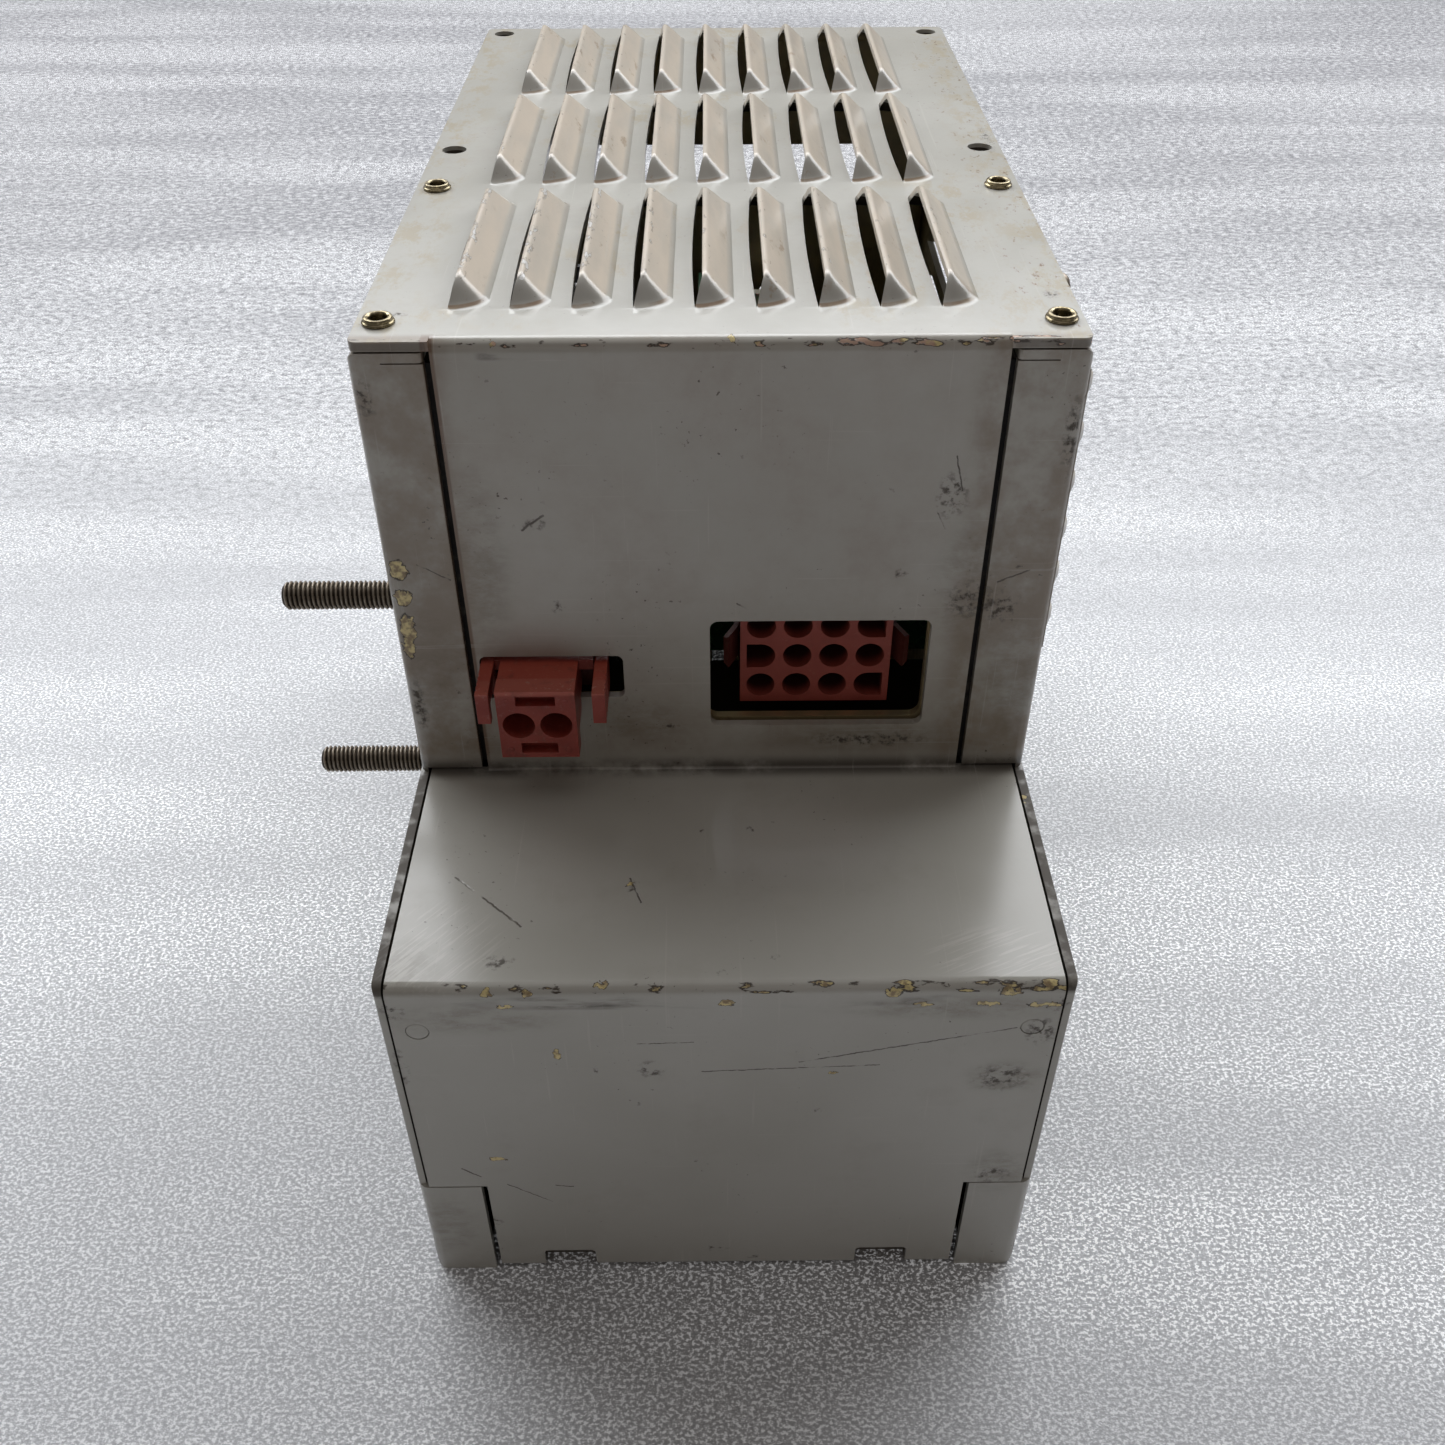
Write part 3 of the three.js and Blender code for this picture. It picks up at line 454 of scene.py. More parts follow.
def hole_for(node, axis, radius, start, end):
    """A rod on the middle line of a node, to cut its hole with."""
    centre = middle_of(node)
    u, v = (centre["xyz".index(name)] for name in "xyz" if name != axis)
    return rod(axis, u, v, radius, start, end)


def cover_opening(x, z, radius):
    return prism(rounded_rectangle(x, z, radius), "y", PANEL - 2, PANEL + 4)


def hook_slot(x):
    half, height = 4.8, 6.0
    outline = [(x - half, -1), (x + half, -1), *arc((x + half - 1, height - 1), 1, 0, 90, 5),
               *arc((x - half + 1, height - 1), 1, 90, 180, 5)]
    return prism(outline, "y", FRONT - 1, FRONT + 3)


def front_cover():
    """The folded cover: lower panel, shelf, upper panel and louvred top in one sheet."""
    mid = SHEET / 2
    fold = [(FRONT + mid, mid), (FRONT + mid, SHELF - mid), (PANEL + mid, SHELF - mid),
            (PANEL + mid, TOP - mid)]
    panels = prism(bent_outline([(FRONT + 15, mid), *fold, (PANEL + 8, TOP - mid)]), "x",
                   -PANEL_HALF, PANEL_HALF)
    shelf_half = WALL_IN - 0.6
    shelf = prism(bent_outline([(FRONT + mid, TAB_HEIGHT + 0.3), *fold[1:3]]), "x", -shelf_half, shelf_half)
    plate = prism(plate_outline(), "z", TOP - SHEET, TOP)
    body = join(panels, shelf, plate)
    across, along = window(TOP_LOUVRE, TOP_LOUVRE_X, TOP_LOUVRE_Y, FIELD_MARGIN["top"])
    holes = [block(across, along, (TOP - 4, TOP + 4))]
    holes += [rod("z", x, y, HOLE_RADIUS, TOP - 4, TOP + 1) for x, y in PLAIN_HOLES]
    holes += [hole_for(node, "z", HOLE_RADIUS, TOP - 4, TOP + 1) for node in BUSH_NODES]
    holes += [rod("y", x, 71, 1.9, FRONT - 1, FRONT + 3) for x in (-48.5, 48.5)]
    holes += [hook_slot(-HOOK_X), hook_slot(HOOK_X)]
    holes.append(cover_opening((-41.2, -16.8), (97.5, 106.4), 1.2))
    holes.append(cover_opening((-2, 35.1), (90.9, 113.4), 1.5))
    cut(body, *holes)
    return join(body, top_louvres())


def case_envelope():
    """The rounded outer shape of both walls."""
    step = SHELF - 0.6
    upright = prism(rounded_rectangle((-WALL, WALL), (0, WALL_TOP), BEND), "y", FRONT, REAR)
    low = prism(rounded_rectangle((-WALL, WALL), (FRONT, REAR), BEND), "z", 0, step)
    high = prism(rounded_rectangle((-WALL, WALL), (PANEL, REAR), BEND), "z", step, WALL_TOP)
    return combine(upright, "INTERSECT", join(low, high))


def side_wall(side):
    """A side wall with its flanges. The front flange stops just under the top one, up to the corner."""
    edge, step = FRONT + 0.8, SHELF - 0.6
    outline = [(FRONT, 0), (REAR, 0), (REAR, WALL_TOP), (PANEL, WALL_TOP), (PANEL, step),
               *arc((edge + BEND, step - BEND), BEND, 90, 180, 6), (edge, TAB_HEIGHT), (FRONT, TAB_HEIGHT)]
    under_top = WALL_TOP - SHEET - 0.2
    closed_from = 49.5
    front = [(side * u, v) for u, v in (
        (FLANGE_IN, SHELF + 0.5), (WALL, SHELF + 0.5), (WALL, WALL_TOP), (closed_from, WALL_TOP),
        (closed_from, under_top), (FLANGE_IN, under_top))]
    tab = [(side * u, v) for u, v in (
        (FLANGE_IN, 0), (WALL, 0), (WALL, TAB_HEIGHT), (FLANGE_IN, TAB_HEIGHT))]
    top = [(side * u, v) for u, v in (
        *arc((FLANGE_IN + 0.7, PANEL + 0.7), 0.7, 180, 270, 5),
        (WALL, PANEL), (WALL, REAR), (FLANGE_IN, REAR))]
    wall = join(
        prism(outline, "x", side * WALL_IN, side * WALL),
        prism(front, "y", PANEL, PANEL + SHEET),
        prism(tab, "y", FRONT, FRONT + SHEET),
        prism(top, "z", WALL_TOP - SHEET, WALL_TOP),
        block(span(side, 44.6, WALL), (FRONT + 2.2, REAR), (0, SHEET)),
        block(span(side, 44.0, WALL), (REAR - SHEET, REAR), (0, WALL_TOP)))
    return combine(wall, "INTERSECT", case_envelope())


def left_wall():
    holes = [hole_for(node, "x", 2.8, -WALL - 1, -WALL_IN + 1) for node in STUD_NODES]
    return cut(side_wall(-1), *holes, *wall_holes(-1))


def right_wall():
    screw_hole = hole_for("side_screw", "x", 1.4, WALL_IN - 1, WALL + 1)
    across, along = window(SIDE_LOUVRE, SIDE_LOUVRE_Z, SIDE_LOUVRE_Y, FIELD_MARGIN["side"])
    body = cut(side_wall(1), screw_hole, block((WALL - 4, WALL + 4), along, across), *wall_holes(1))
    return join(body, side_louvres())


def wall_holes(side):
    """Holes for the fasteners of one wall: top rivets, rear screws and countersunk bottom screws."""
    through_top = (HOLE_RADIUS, WALL_TOP - 4, WALL_TOP + 1)
    holes = [rod("z", x, y, *through_top) for x, y in PLAIN_HOLES if x * side > 0]
    holes += [hole_for(node, "z", *through_top) for node in BUSH_NODES if middle_of(node).x * side > 0]
    for i in range(1, 5):
        if middle_of(f"rear_screw_{i}").x * side > 0:
            holes.append(hole_for(f"rear_screw_{i}", "y", 1.75, REAR - 3, REAR + 1))
        sink = middle_of(f"bottom_screw_{i}")
        if sink.x * side > 0:
            holes.append(turned([(0, -0.2), (3.2, -0.2), (1.75, 1.7), (0, 1.7)], "z", (sink.x, sink.y, 0)))
    return holes


def line_inside(piece):
    """Gives the faces that look into the case the second material: bare zinc instead of paint."""
    depth = SHEET * 1.7
    for polygon in piece.data.polygons:
        probe = (polygon.center / MM) + polygon.normal * depth * 2
        upright = abs(probe.x) < WALL - depth and depth < probe.z < TOP - depth and probe.y < REAR - depth
        front = PANEL + depth if probe.z > SHELF - depth else FRONT + depth
        if upright and probe.y > front:
            polygon.material_index = 1


def gap_shade_strips():
    """Black strips behind the gaps beside the upper panel: dark sheets put there as painted shade, so that
    the gaps show black.
    """
    depth = (PANEL + SHEET + 0.05, BRACKET_LOW.y - 0.05)
    return join_apart([block(span(side, 41.5, 46.5), depth, (SHELF + 1, TOP - 4)) for side in (-1, 1)])


def make_case(paint, zinc, strip_finish):
    # the black strips behind the gaps are painted shade
    strips = soften(gap_shade_strips(), 0.05)
    finish_piece(strips, "gap_shade_strips", [strip_finish], "drive", ["front_cover"])
    for build, name, node in ((front_cover, "cover_sheet", "front_cover"),
                              (left_wall, "left_wall_sheet", "left_side_wall"),
                              (right_wall, "right_wall_sheet", "right_side_wall")):
        piece = soften(build(), 0.16)
        finish_piece(piece, name, [paint, zinc], "drive", [node])
        line_inside(piece)


# ---- fasteners ------------------------

THREAD = {"radius": 2.5, "pitch": 0.8, "depth": 0.46, "tip": 1.7, "sides": 36, "per_pitch": 8}
STUD_HEAD = 4.4                              # radius of a stud's head


def thread_radius(travel, turn):
    """The thread's radius at a distance from the stud's tip and a share of a turn round it."""
    flank = abs((travel / THREAD["pitch"] - turn) % 1 - 0.5) * 2
    crest = min(1, max(0, (0.88 - flank) / 0.72))
    return min(THREAD["radius"] - THREAD["depth"] * (1 - crest), THREAD["tip"] + travel * 1.1)


def threaded_stud(node):
    """A pressed-in stud: M5 x 0.8 thread with a chamfered tip, and a flat head inside the wall."""
    low, high = box_mm(node)
    centre = middle_of(node)
    head_from = high.x - 1.6
    turns = [i / THREAD["sides"] for i in range(THREAD["sides"])]
    steps = int((head_from - low.x) / THREAD["pitch"] * THREAD["per_pitch"])
    travels = [k * THREAD["pitch"] / THREAD["per_pitch"] for k in range(steps + 1)]
    rings = [(low.x + travel, [thread_radius(travel, turn) for turn in turns]) for travel in travels]
    rings += [(x, [radius] * len(turns)) for x, radius in (
        (head_from, STUD_HEAD), (head_from + 1.2, STUD_HEAD), (high.x, STUD_HEAD - 0.4))]
    points = [(low.x, centre.y, centre.z)]
    rows = [[0] * len(turns)]
    for x, radii in rings:
        rows.append([len(points) + i for i in range(len(turns))])
        for turn, radius in zip(turns, radii):
            angle = 2 * math.pi * turn
            points.append((x, centre.y + radius * math.cos(angle), centre.z + radius * math.sin(angle)))
    points.append((high.x, centre.y, centre.z))
    rows.append([len(points) - 1] * len(turns))
    return new_object("stud", points, band_faces(rows))


def rivet_bush(node):
    """A threaded bush riveted into the plate: a collar with a rolled rim round its bore."""
    centre = middle_of(node)
    bore = 1.35
    profile = [(bore, -4), (1.95, -4), (1.95, 0), (2.4, 0), (2.46, 0.08), (2.46, 0.26), (2.38, 0.36),
               (2.2, 0.42), (2.14, 0.5), (2.18, 0.62), (2.16, 0.84), (2.06, 0.95), (1.86, 1.0),
               (1.62, 0.96), (1.46, 0.82), (bore, 0.6)]
    return turned(profile, "z", (centre.x, centre.y, TOP + 0.05))


def cross_recess(axis, centre):
    """A cross-shaped driver recess in a screw head."""
    cross = join(*[block((-long, long), (-wide, wide), (-1.1, 1.1))
                   for long, wide in ((1.25, 0.3), (0.3, 1.25))])
    turn = {"x": Matrix.Rotation(math.pi / 2, 4, "Y"), "y": Matrix.Rotation(math.pi / 2, 4, "X"),
            "z": Matrix.Identity(4)}[axis]
    cross.data.transform(Matrix.Translation(Vector(centre) * MM) @ turn @ Matrix.Rotation(0.5, 4, "Z"))
    return cross


def pan_screw(node, axis):
    """A pan-head screw with a cross recess."""
    along = "xyz".index(axis)
    centre = middle_of(node)
    centre[along] = box_mm(node)[1][along] - 2.4
    dome = [(2.3 * math.cos(a), 0.7 + 1.7 * math.sin(a)) for a in
            (math.radians(10 * i) for i in range(9))]
    profile = [(0, -7), (1.25, -7), (1.25, 0), (2.15, 0), (2.3, 0.12), *dome, (0, 2.4)]
    screw = turned(profile, axis, centre, 40)
    centre[along] += 2.6
    return cut(screw, cross_recess(axis, centre))


def countersunk_screw(node):
    centre = middle_of(node)
    profile = [(0, 0.1), (2.6, 0.1), (2.7, 0.2), (1.45, 1.45), (1.45, 7), (0, 7)]
    screw = turned(profile, "z", (centre.x, centre.y, 0), 40)
    return cut(screw, cross_recess("z", (centre.x, centre.y, 0.1)))


def flush_rivet(node):
    """The ground-off end of a rivet, level with the lower panel."""
    centre = middle_of(node)
    profile = [(0, 2.4), (2.4, 2.4), (2.4, 1.6), (1.8, 1.6), (1.8, 0.12), (1.72, 0.04), (0, 0.04)]
    return turned(profile, "y", (centre.x, FRONT, centre.z), 40)


def darken_thread(piece, centre, dirt):
    """Smooth shading for a stud, with dirt at the bottom of its thread."""
    piece.data.materials.append(dirt)
    for polygon in piece.data.polygons:
        polygon.use_smooth = True
        offset = polygon.center / MM - centre
        if math.hypot(offset.y, offset.z) < 2.26:
            polygon.material_index = 1


def make_fasteners(steel, brass, paint, dark_steel, thread_dirt):
    jobs = [(rivet_bush, node, brass, "brass") for node in BUSH_NODES]
    jobs += [(threaded_stud, node, dark_steel, "steel") for node in STUD_NODES]
    jobs += [(flush_rivet, f"front_rivet_{side}", paint, "painted_sheet") for side in ("left", "right")]
    jobs += [(countersunk_screw, f"bottom_screw_{i}", steel, "steel") for i in range(1, 5)]
    for build, node, material, slot in jobs:
        piece = build(node)
        if build is not threaded_stud:
            soften(piece, 0.05)
        finish_piece(piece, node + "_detail", [material], "drive", [node])
        if build is threaded_stud:
            darken_thread(piece, middle_of(node), thread_dirt)
    screws = [("side_screw", "x")] + [(f"rear_screw_{i}", "y") for i in range(1, 5)]
    for node, axis in screws:
        piece = soften(pan_screw(node, axis), 0.06)
        metal = dark_steel if axis == "x" else steel
        finish_piece(piece, node + "_detail", [metal], "drive", [node])


# ---- connectors ------------------------

HEADER_PITCH = 6.35
CAVITY = {"radius": 2.5, "depth": 13}
PLUG_MIDDLE = -31.0
PLUG_HALF = 6.6                              # half the width of the plug's front block
SOCKET_FACE = PANEL + 4.6
WIRE_ENTRY = {"from_middle": 3.15, "z": 98.8, "radius": 2.7}
PIN_BORE = {"z": 101.6, "radius": 0.95}
KEYED_CAVITIES = {(0, 3): 1, (1, 0): -1, (2, 3): 1}   # the square side of a cavity that keys the plug


def header_places():
    """Row, column, X and Z of each of the header's twelve cavities."""
    middle = (HEADER_LOW + HEADER_HIGH) / 2
    return [(row, column, middle.x + (column - 1.5) * HEADER_PITCH, middle.z + (1 - row) * HEADER_PITCH)
            for row in range(3) for column in range(4)]


def signal_header():
    """The 12-way header: a block with a deep cavity for each contact."""
    face, radius, middle = HEADER_LOW.y, CAVITY["radius"], (HEADER_LOW.z + HEADER_HIGH.z) / 2
    body = block((HEADER_LOW.x, HEADER_HIGH.x), (face, HEADER_HIGH.y), (HEADER_LOW.z, HEADER_HIGH.z))
    cuts = []
    for row, column, x, z in header_places():
        outline = arc((x, z), radius, 0, 360 - 9, 39)
        key = KEYED_CAVITIES.get((row, column))
        if key:
            outline = arc((x, z), radius, 90 * key, 90 * key + 180, 20)
            outline += [(x + key * radius, z - key * radius), (x + key * radius, z + key * radius)]
        cuts.append(prism(outline, "y", face - 1, face + CAVITY["depth"]))
    for edge in (HEADER_LOW.x, HEADER_HIGH.x):
        cuts.append(block(span_of(edge, 0.5), (face + 4, face + 12), span_of(middle, 3)))
    return cut(body, *cuts)


def header_contacts():
    """The tubular contacts at the bottom of the header's cavities."""
    face = HEADER_LOW.y
    root = face + CAVITY["depth"] - 0.05
    profile = [(0, root), (1.5, root), (1.5, face + 7), (1.35, face + 6.7), (1.1, face + 6.7),
               (1.1, root - 1), (0, root - 1)]
    return join_apart([turned(profile, "y", (x, 0, z), 24) for _, _, x, z in header_places()])


def power_plug():
    """The two-way plug: front block with two wire entries, a waist, and a nose in the socket."""
    x, half = PLUG_MIDDLE, PLUG_HALF
    face, bottom, top = PLUG_LOW.y, PLUG_LOW.z, PLUG_HIGH.z - 0.4
    across = (x - half, x + half)
    body = join(
        block(across, (face, face + 3.6), (bottom, top + 0.4)),
        block(across, (face + 3, PANEL - 0.5), (95.4, top)),
        block(across, (PANEL - 1, SOCKET_FACE - 0.4), (98, top)),
        block((x - half + 1.2, x + half - 1.2), (SOCKET_FACE - 1, SOCKET_FACE + 10), (98.7, 104.7)))
    webs = [block((x - half - 1.1, x - half + 1), (PANEL + 0.2, PANEL + 1.4), (103.4, top - 0.2)),
            block((x + half - 1, x + half + 2.5), (PANEL + 0.2, PANEL + 1.4), (103.4, top - 0.2))]
    join(body, *webs)
    cuts = [block((x - 3.3, x + 3.3), (face - 1, face + 2), (103, 104.9)),
            block((x - 3.1, x + 3.1), (face - 1, face + 2), (92.8, 95))]
    for side in (-1, 1):
        entry = x + side * WIRE_ENTRY["from_middle"]
        cuts.append(rod("y", entry, WIRE_ENTRY["z"], WIRE_ENTRY["radius"], face - 1, PANEL - 1.2))
        cuts.append(rod("y", entry, PIN_BORE["z"], PIN_BORE["radius"], PANEL - 2, SOCKET_FACE + 11, 16))
    cut(body, *cuts)
    pips = [rod("y", x + side * 4.9, z, 0.5, face - 0.08, face + 0.4, 20)
            for side in (-1, 1) for z in (93.6, 104)]
    return join(body, *pips)


def plug_latch(node):
    """A latch arm with a thumb tab at the front, grip ridges and a hook at the rear."""
    low, high = box_mm(node)
    inward = 1 if middle_of(node).x < PLUG_MIDDLE else -1
    centre = low.x + 1.1 if inward > 0 else high.x - 1.1
    half, pivot = 1.1, PANEL + 0.8
    front, rear = low.y, high.y

    def inwards(*distances):
        return tuple(sorted(centre + inward * distance for distance in distances))

    arm = [(centre - inward * half, front), (centre + inward * half, front),
           (centre + inward * half, pivot + 1), (centre + inward * half * 0.6, rear),
           (centre - inward * half * 0.6, rear), (centre - inward * half, pivot + 1)]
    body = prism(arm, "z", low.z, high.z)
    join(body, block(inwards(0, half * 0.6 + 0.3), (rear - 1.4, rear), (100.5, 104.2)))
    grooves = [block(span_of(centre - inward * half, 0.22), (front + 1.1 + 1.3 * i, front + 1.6 + 1.3 * i),
                     (low.z - 1, high.z + 1)) for i in range(4)]
    relief = block(inwards(0.3, 2), (front + 1.6, PANEL - 1.2), (low.z - 1, high.z - 1.6))
    return cut(body, relief, *grooves)


def make_connectors(red, brass):
    contacts = soften(header_contacts(), 0.05)
    finish_piece(contacts, "header_contacts", [brass], "drive", ["signal_header"])
    pieces = [(signal_header(), "signal_header", "drive"), (power_plug(), "power_plug", "plug")]
    pieces += [(plug_latch(f"plug_latch_{side}"), f"plug_latch_{side}", f"latch_{side}")
               for side in ("left", "right")]
    for piece, node, body in pieces:
        finish_piece(soften(piece, 0.14), node + "_detail", [red], body, [node])


# ---- finishes ------------------------


class Look:
    """A material under construction. Patterns are sized in millimetres of the object."""

    def __init__(self, name, **sockets):
        self.material = bpy.data.materials.new(name)
        self.material.use_nodes = True
        self.tree = self.material.node_tree
        self.shader = self.tree.nodes["Principled BSDF"]
        self.colour = None
        for socket, value in sockets.items():
            self.set(socket.replace("_", " ").title().replace("Ior", "IOR"), value)
        coordinates = self.add("TexCoord", output="Object")
        self.mm = self.add("VectorMath", {0: coordinates, "Scale": 1 / MM}, operation="SCALE")
        self.x, self.y, self.z = (self.add("SeparateXYZ", {0: self.mm}, output=i) for i in range(3))

    def add(self, kind, inputs=None, output=0, **settings):
        node = self.tree.nodes.new("ShaderNode" + kind)
        for name, value in settings.items():
            setattr(node, name, value)
        for socket, value in (inputs or {}).items():
            self.put(node, socket, value)
        return node.outputs[output]

    def put(self, node, socket, value):
        """Links a value to a node's socket, or sets it there if it is a constant."""
        if isinstance(value, bpy.types.NodeSocket):
            self.tree.links.new(value, node.inputs[socket])
        else:
            node.inputs[socket].default_value = value

    def set(self, socket, value):
        self.put(self.shader, socket, value)

    def noise(self, size, detail=3.0, stretch=None, roughness=0.55):
        """Noise with features of that size; stretch is how much longer they are along each axis."""
        place = self.mm
        if stretch:
            place = self.add("VectorMath", {0: self.mm, 1: stretch}, operation="DIVIDE")
        return self.add("TexNoise", {"Vector": place, "Scale": 1 / size, "Detail": detail,
                                     "Roughness": roughness})

    def math(self, operation, a, b=0.0):
        return self.add("Math", {0: a, 1: b}, operation=operation)

    def off(self, value, centre):
        """How far a value is from a centre."""
        return self.math("ABSOLUTE", self.math("SUBTRACT", value, centre))

    def ease(self, value, low, high, to_low=0.0, to_high=1.0):
        return self.add("MapRange", {"Value": value, "From Min": low, "From Max": high,
                                     "To Min": to_low, "To Max": to_high}, interpolation_type="SMOOTHSTEP")

    def between(self, value, low, high, softness):
        """1 while the value lies between two limits, easing to 0 over the softness outside them."""
        rising = self.ease(value, low - softness, low)
        return self.times(rising, self.ease(value, high + softness, high))

    def times(self, *shares):
        product = shares[0]
        for share in shares[1:]:
            product = self.math("MULTIPLY", product, share)
        return product

    def most(self, *values):
        result = values[0]
        for value in values[1:]:
            result = self.math("MAXIMUM", result, value)
        return result

    def mix(self, share, a, b):
        shades = [(*shade, 1) if isinstance(shade, tuple) else shade for shade in (a, b)]
        return self.add("Mix", {0: share, 6: shades[0], 7: shades[1]}, output=2, data_type="RGBA")

    def blend(self, share, a, b):
        """Starts the colour as a blend of two shades."""
        self.colour = self.mix(share, a, b)

    def coat(self, shade, *shares):
        """Lays a shade over the colour so far, as far as all the shares allow it."""
        self.colour = self.mix(self.times(*shares), self.colour, shade)

    def spot(self, place, centre, radii):
        """1 at the centre of an ellipsoid, 0 on its surface and below 0 outside."""
        offset = self.add("VectorMath", {0: place, 1: centre}, operation="SUBTRACT")
        share = self.add("VectorMath", {0: offset, 1: radii}, operation="DIVIDE")
        distance = self.add("VectorMath", {0: share}, output="Value", operation="LENGTH")
        return self.math("SUBTRACT", 1.0, distance)

    def scratch(self, place, start, end, half_width):
        """1 on a straight scratch, falling to 0 at its sides."""
        start, end = Vector(start), Vector(end)
        run = end - start
        offset = self.add("VectorMath", {0: place, 1: start}, operation="SUBTRACT")
        dot = self.add("VectorMath", {0: offset, 1: run / run.length_squared}, output="Value",
                       operation="DOT_PRODUCT")
        share = self.add("Clamp", {"Value": dot})
        along = self.add("VectorMath", {0: run, "Scale": share}, operation="SCALE")
        away = self.add("VectorMath", {0: offset, 1: along}, output="Value", operation="DISTANCE")
        return self.ease(away, half_width, half_width * 0.4)

    def finish(self, roughness, height, distance):
        """Connects the colour, the roughness and the relief, and gives the material."""
        self.set("Base Color", self.colour)
        self.set("Roughness", roughness)
        self.set("Normal", self.add("Bump", {"Height": height, "Distance": distance * MM, "Strength": 1.0}))
        return self.material


CHROMATE = (0.74, 0.62, 0.3)                 # yellow chromate under the paint
# dark brown for dirt, also used for painted shade
GRIME_AND_SHADE = (0.045, 0.032, 0.022)
BROWN_FILM = (0.2, 0.145, 0.09)

# Marks lie on one face each: X and Z on the two fronts, X and Y on the shelf and the top.
FACES = {
    "panel": lambda u, v, w: (u, PANEL + w, v),
    "front": lambda u, v, w: (u, FRONT + w, v),
    "shelf": lambda u, v, w: (u, v, SHELF + w),
    "top": lambda u, v, w: (u, v, TOP + w),
}

# Where the paint is knocked off: place and radii, and the depth if it isn't the usual one.
CHIPS = {
    "panel": [(-52.2, 124, 1.5, 1.9), (-52.3, 118.6, 1.4, 1.6), (-52.3, 112.2, 1.2, 3),
              (-52.6, 108.6, 1.1, 2.2), (1.8, 162.8, 0.6, 0.5), (-33, 162.4, 0.4, 0.4)],
    "front": [(-36.7, 79.8, 0.9, 0.7), (-30.4, 79.8, 0.9, 0.7), (-34, 77, 1.3, 0.5), (-19, 80.8, 1.3, 0.5),
              (0.4, 77.6, 1.2, 0.8), (26, 79.4, 1.2, 0.9), (31, 76.8, 1.6, 0.45), (44, 79.4, 1.8, 0.7, 3),
              (41, 76.8, 2, 0.5), (49.5, 76.4, 2.8, 0.6), (-39.5, 36, 1.5, 0.5), (-27, 65, 0.5, 1.4),
              (17.5, 59.5, 0.5, 0.5)],
    "shelf": [(-15.3, -90.5, 0.7, 0.5), (53.2, -70, 0.5, 1, 1.5)],
}

# Soft brown smudges: place and radii.
SMUDGES = {
    "panel": [(25, 88, 24, 5), (-14, 92, 12, 7), (41, 120, 9, 18), (-39, 124, 7, 26), (50, 100, 8, 22),
              (-50, 104, 8, 20)],
    "front": [(46, 58, 9, 6), (48, 31, 8, 9), (36, 76, 26, 4), (-40, 74, 20, 5), (-50, 15, 7, 14)],
    "shelf": [(-50, -108, 8, 8)],
}

# Dark scuffs: place and radii.
SCUFFS = {
    "panel": [(41, 117.5, 5, 4.5), (46, 116, 4, 4), (53, 147, 1.6, 9), (-29.5, 132.4, 2.2, 1.3),
              (-27, 116.5, 1.1, 1.7), (29, 122.7, 1.2, 1), (36, 137, 3, 5), (26.5, 138, 0.7, 0.6),
              (26, 87.5, 13, 1.8), (-9, 91, 2.2, 0.9), (-52.6, 96, 1.6, 7), (-53, 154, 2, 4)],
    "front": [(-52.5, 62, 1.5, 6), (45, 58, 6, 4), (47, 30, 4, 3), (50, 70, 3, 4), (-42, 16, 1.8, 1),
              (-2, 6, 3, 0.9), (5, 3, 1.2, 0.6), (-12, 61, 2.6, 2.6), (15.5, 49.5, 0.7, 0.7),
              (-5, 35, 0.6, 0.6), (-14.5, 51.5, 0.5, 0.5), (-9, 71, 0.8, 0.8), (-21, 61, 0.5, 1.2),
              (-52, 76, 3, 2.5), (52, 76.5, 2.5, 2.5)],
    "shelf": [(-35.5, -107, 3.2, 1.8), (-15, -91, 1, 2.2), (-3.6, -78, 0.5, 0.5), (4.6, -77.5, 0.9, 0.6),
              (8, -106, 0.8, 0.8), (-0.5, -109.5, 0.9, 0.7)],
    "top": [(52, 28, 1.2, 10), (-48, -52, 1.6, 1.2), (50.4, -46, 1.6, 2)],
}

# Long scratches: two ends and half a width.
SCRATCHES = {
    "panel": [(2.5, 117, 7, 113.8, 0.2), (-31.5, 131.4, -28, 134, 0.28), (45, 121, 50, 123.2, 0.2),
              (-44, 122, -49, 125, 0.15), (36, 144, 37.5, 138, 0.16), (34, 134, 35.5, 131, 0.16)],
    "front": [(12, 62.5, 46, 70.8, 0.17), (-3.7, 60.2, 25, 61.6, 0.15), (-14, 67.5, -5, 67.8, 0.11),
              (-46, 33, -43, 30.5, 0.2), (-38.5, 28, -31, 22.5, 0.16), (-30, 27.6, -27, 27.2, 0.16)],
    "shelf": [(-44.5, -88.5, -32.5, -99.5, 0.26), (-15.5, -89, -13.5, -94.5, 0.2)],
}

# Brushed patches on the shelf: X, Y, radii, and the direction of the scratches in degrees.
BRUSHED = [(-45, -104, 12, 12, 50), (43, -106, 14, 7, 24)]


def spots(look, place, marks, depth_upright, depth_level):
    """The ellipsoids of some marks, as deep as is usual on an upright or on a level face."""
    found = []
    for face, rows in marks.items():
        usual = depth_upright if face in ("panel", "front") else depth_level
        for u, v, across, along, *own in rows:
            level = FACES[face](across, along, own[0] if own else usual)
            radii = Vector(level) - Vector(FACES[face](0, 0, 0))
            found.append(look.spot(place, FACES[face](u, v, 0), radii))
    return look.most(*found)


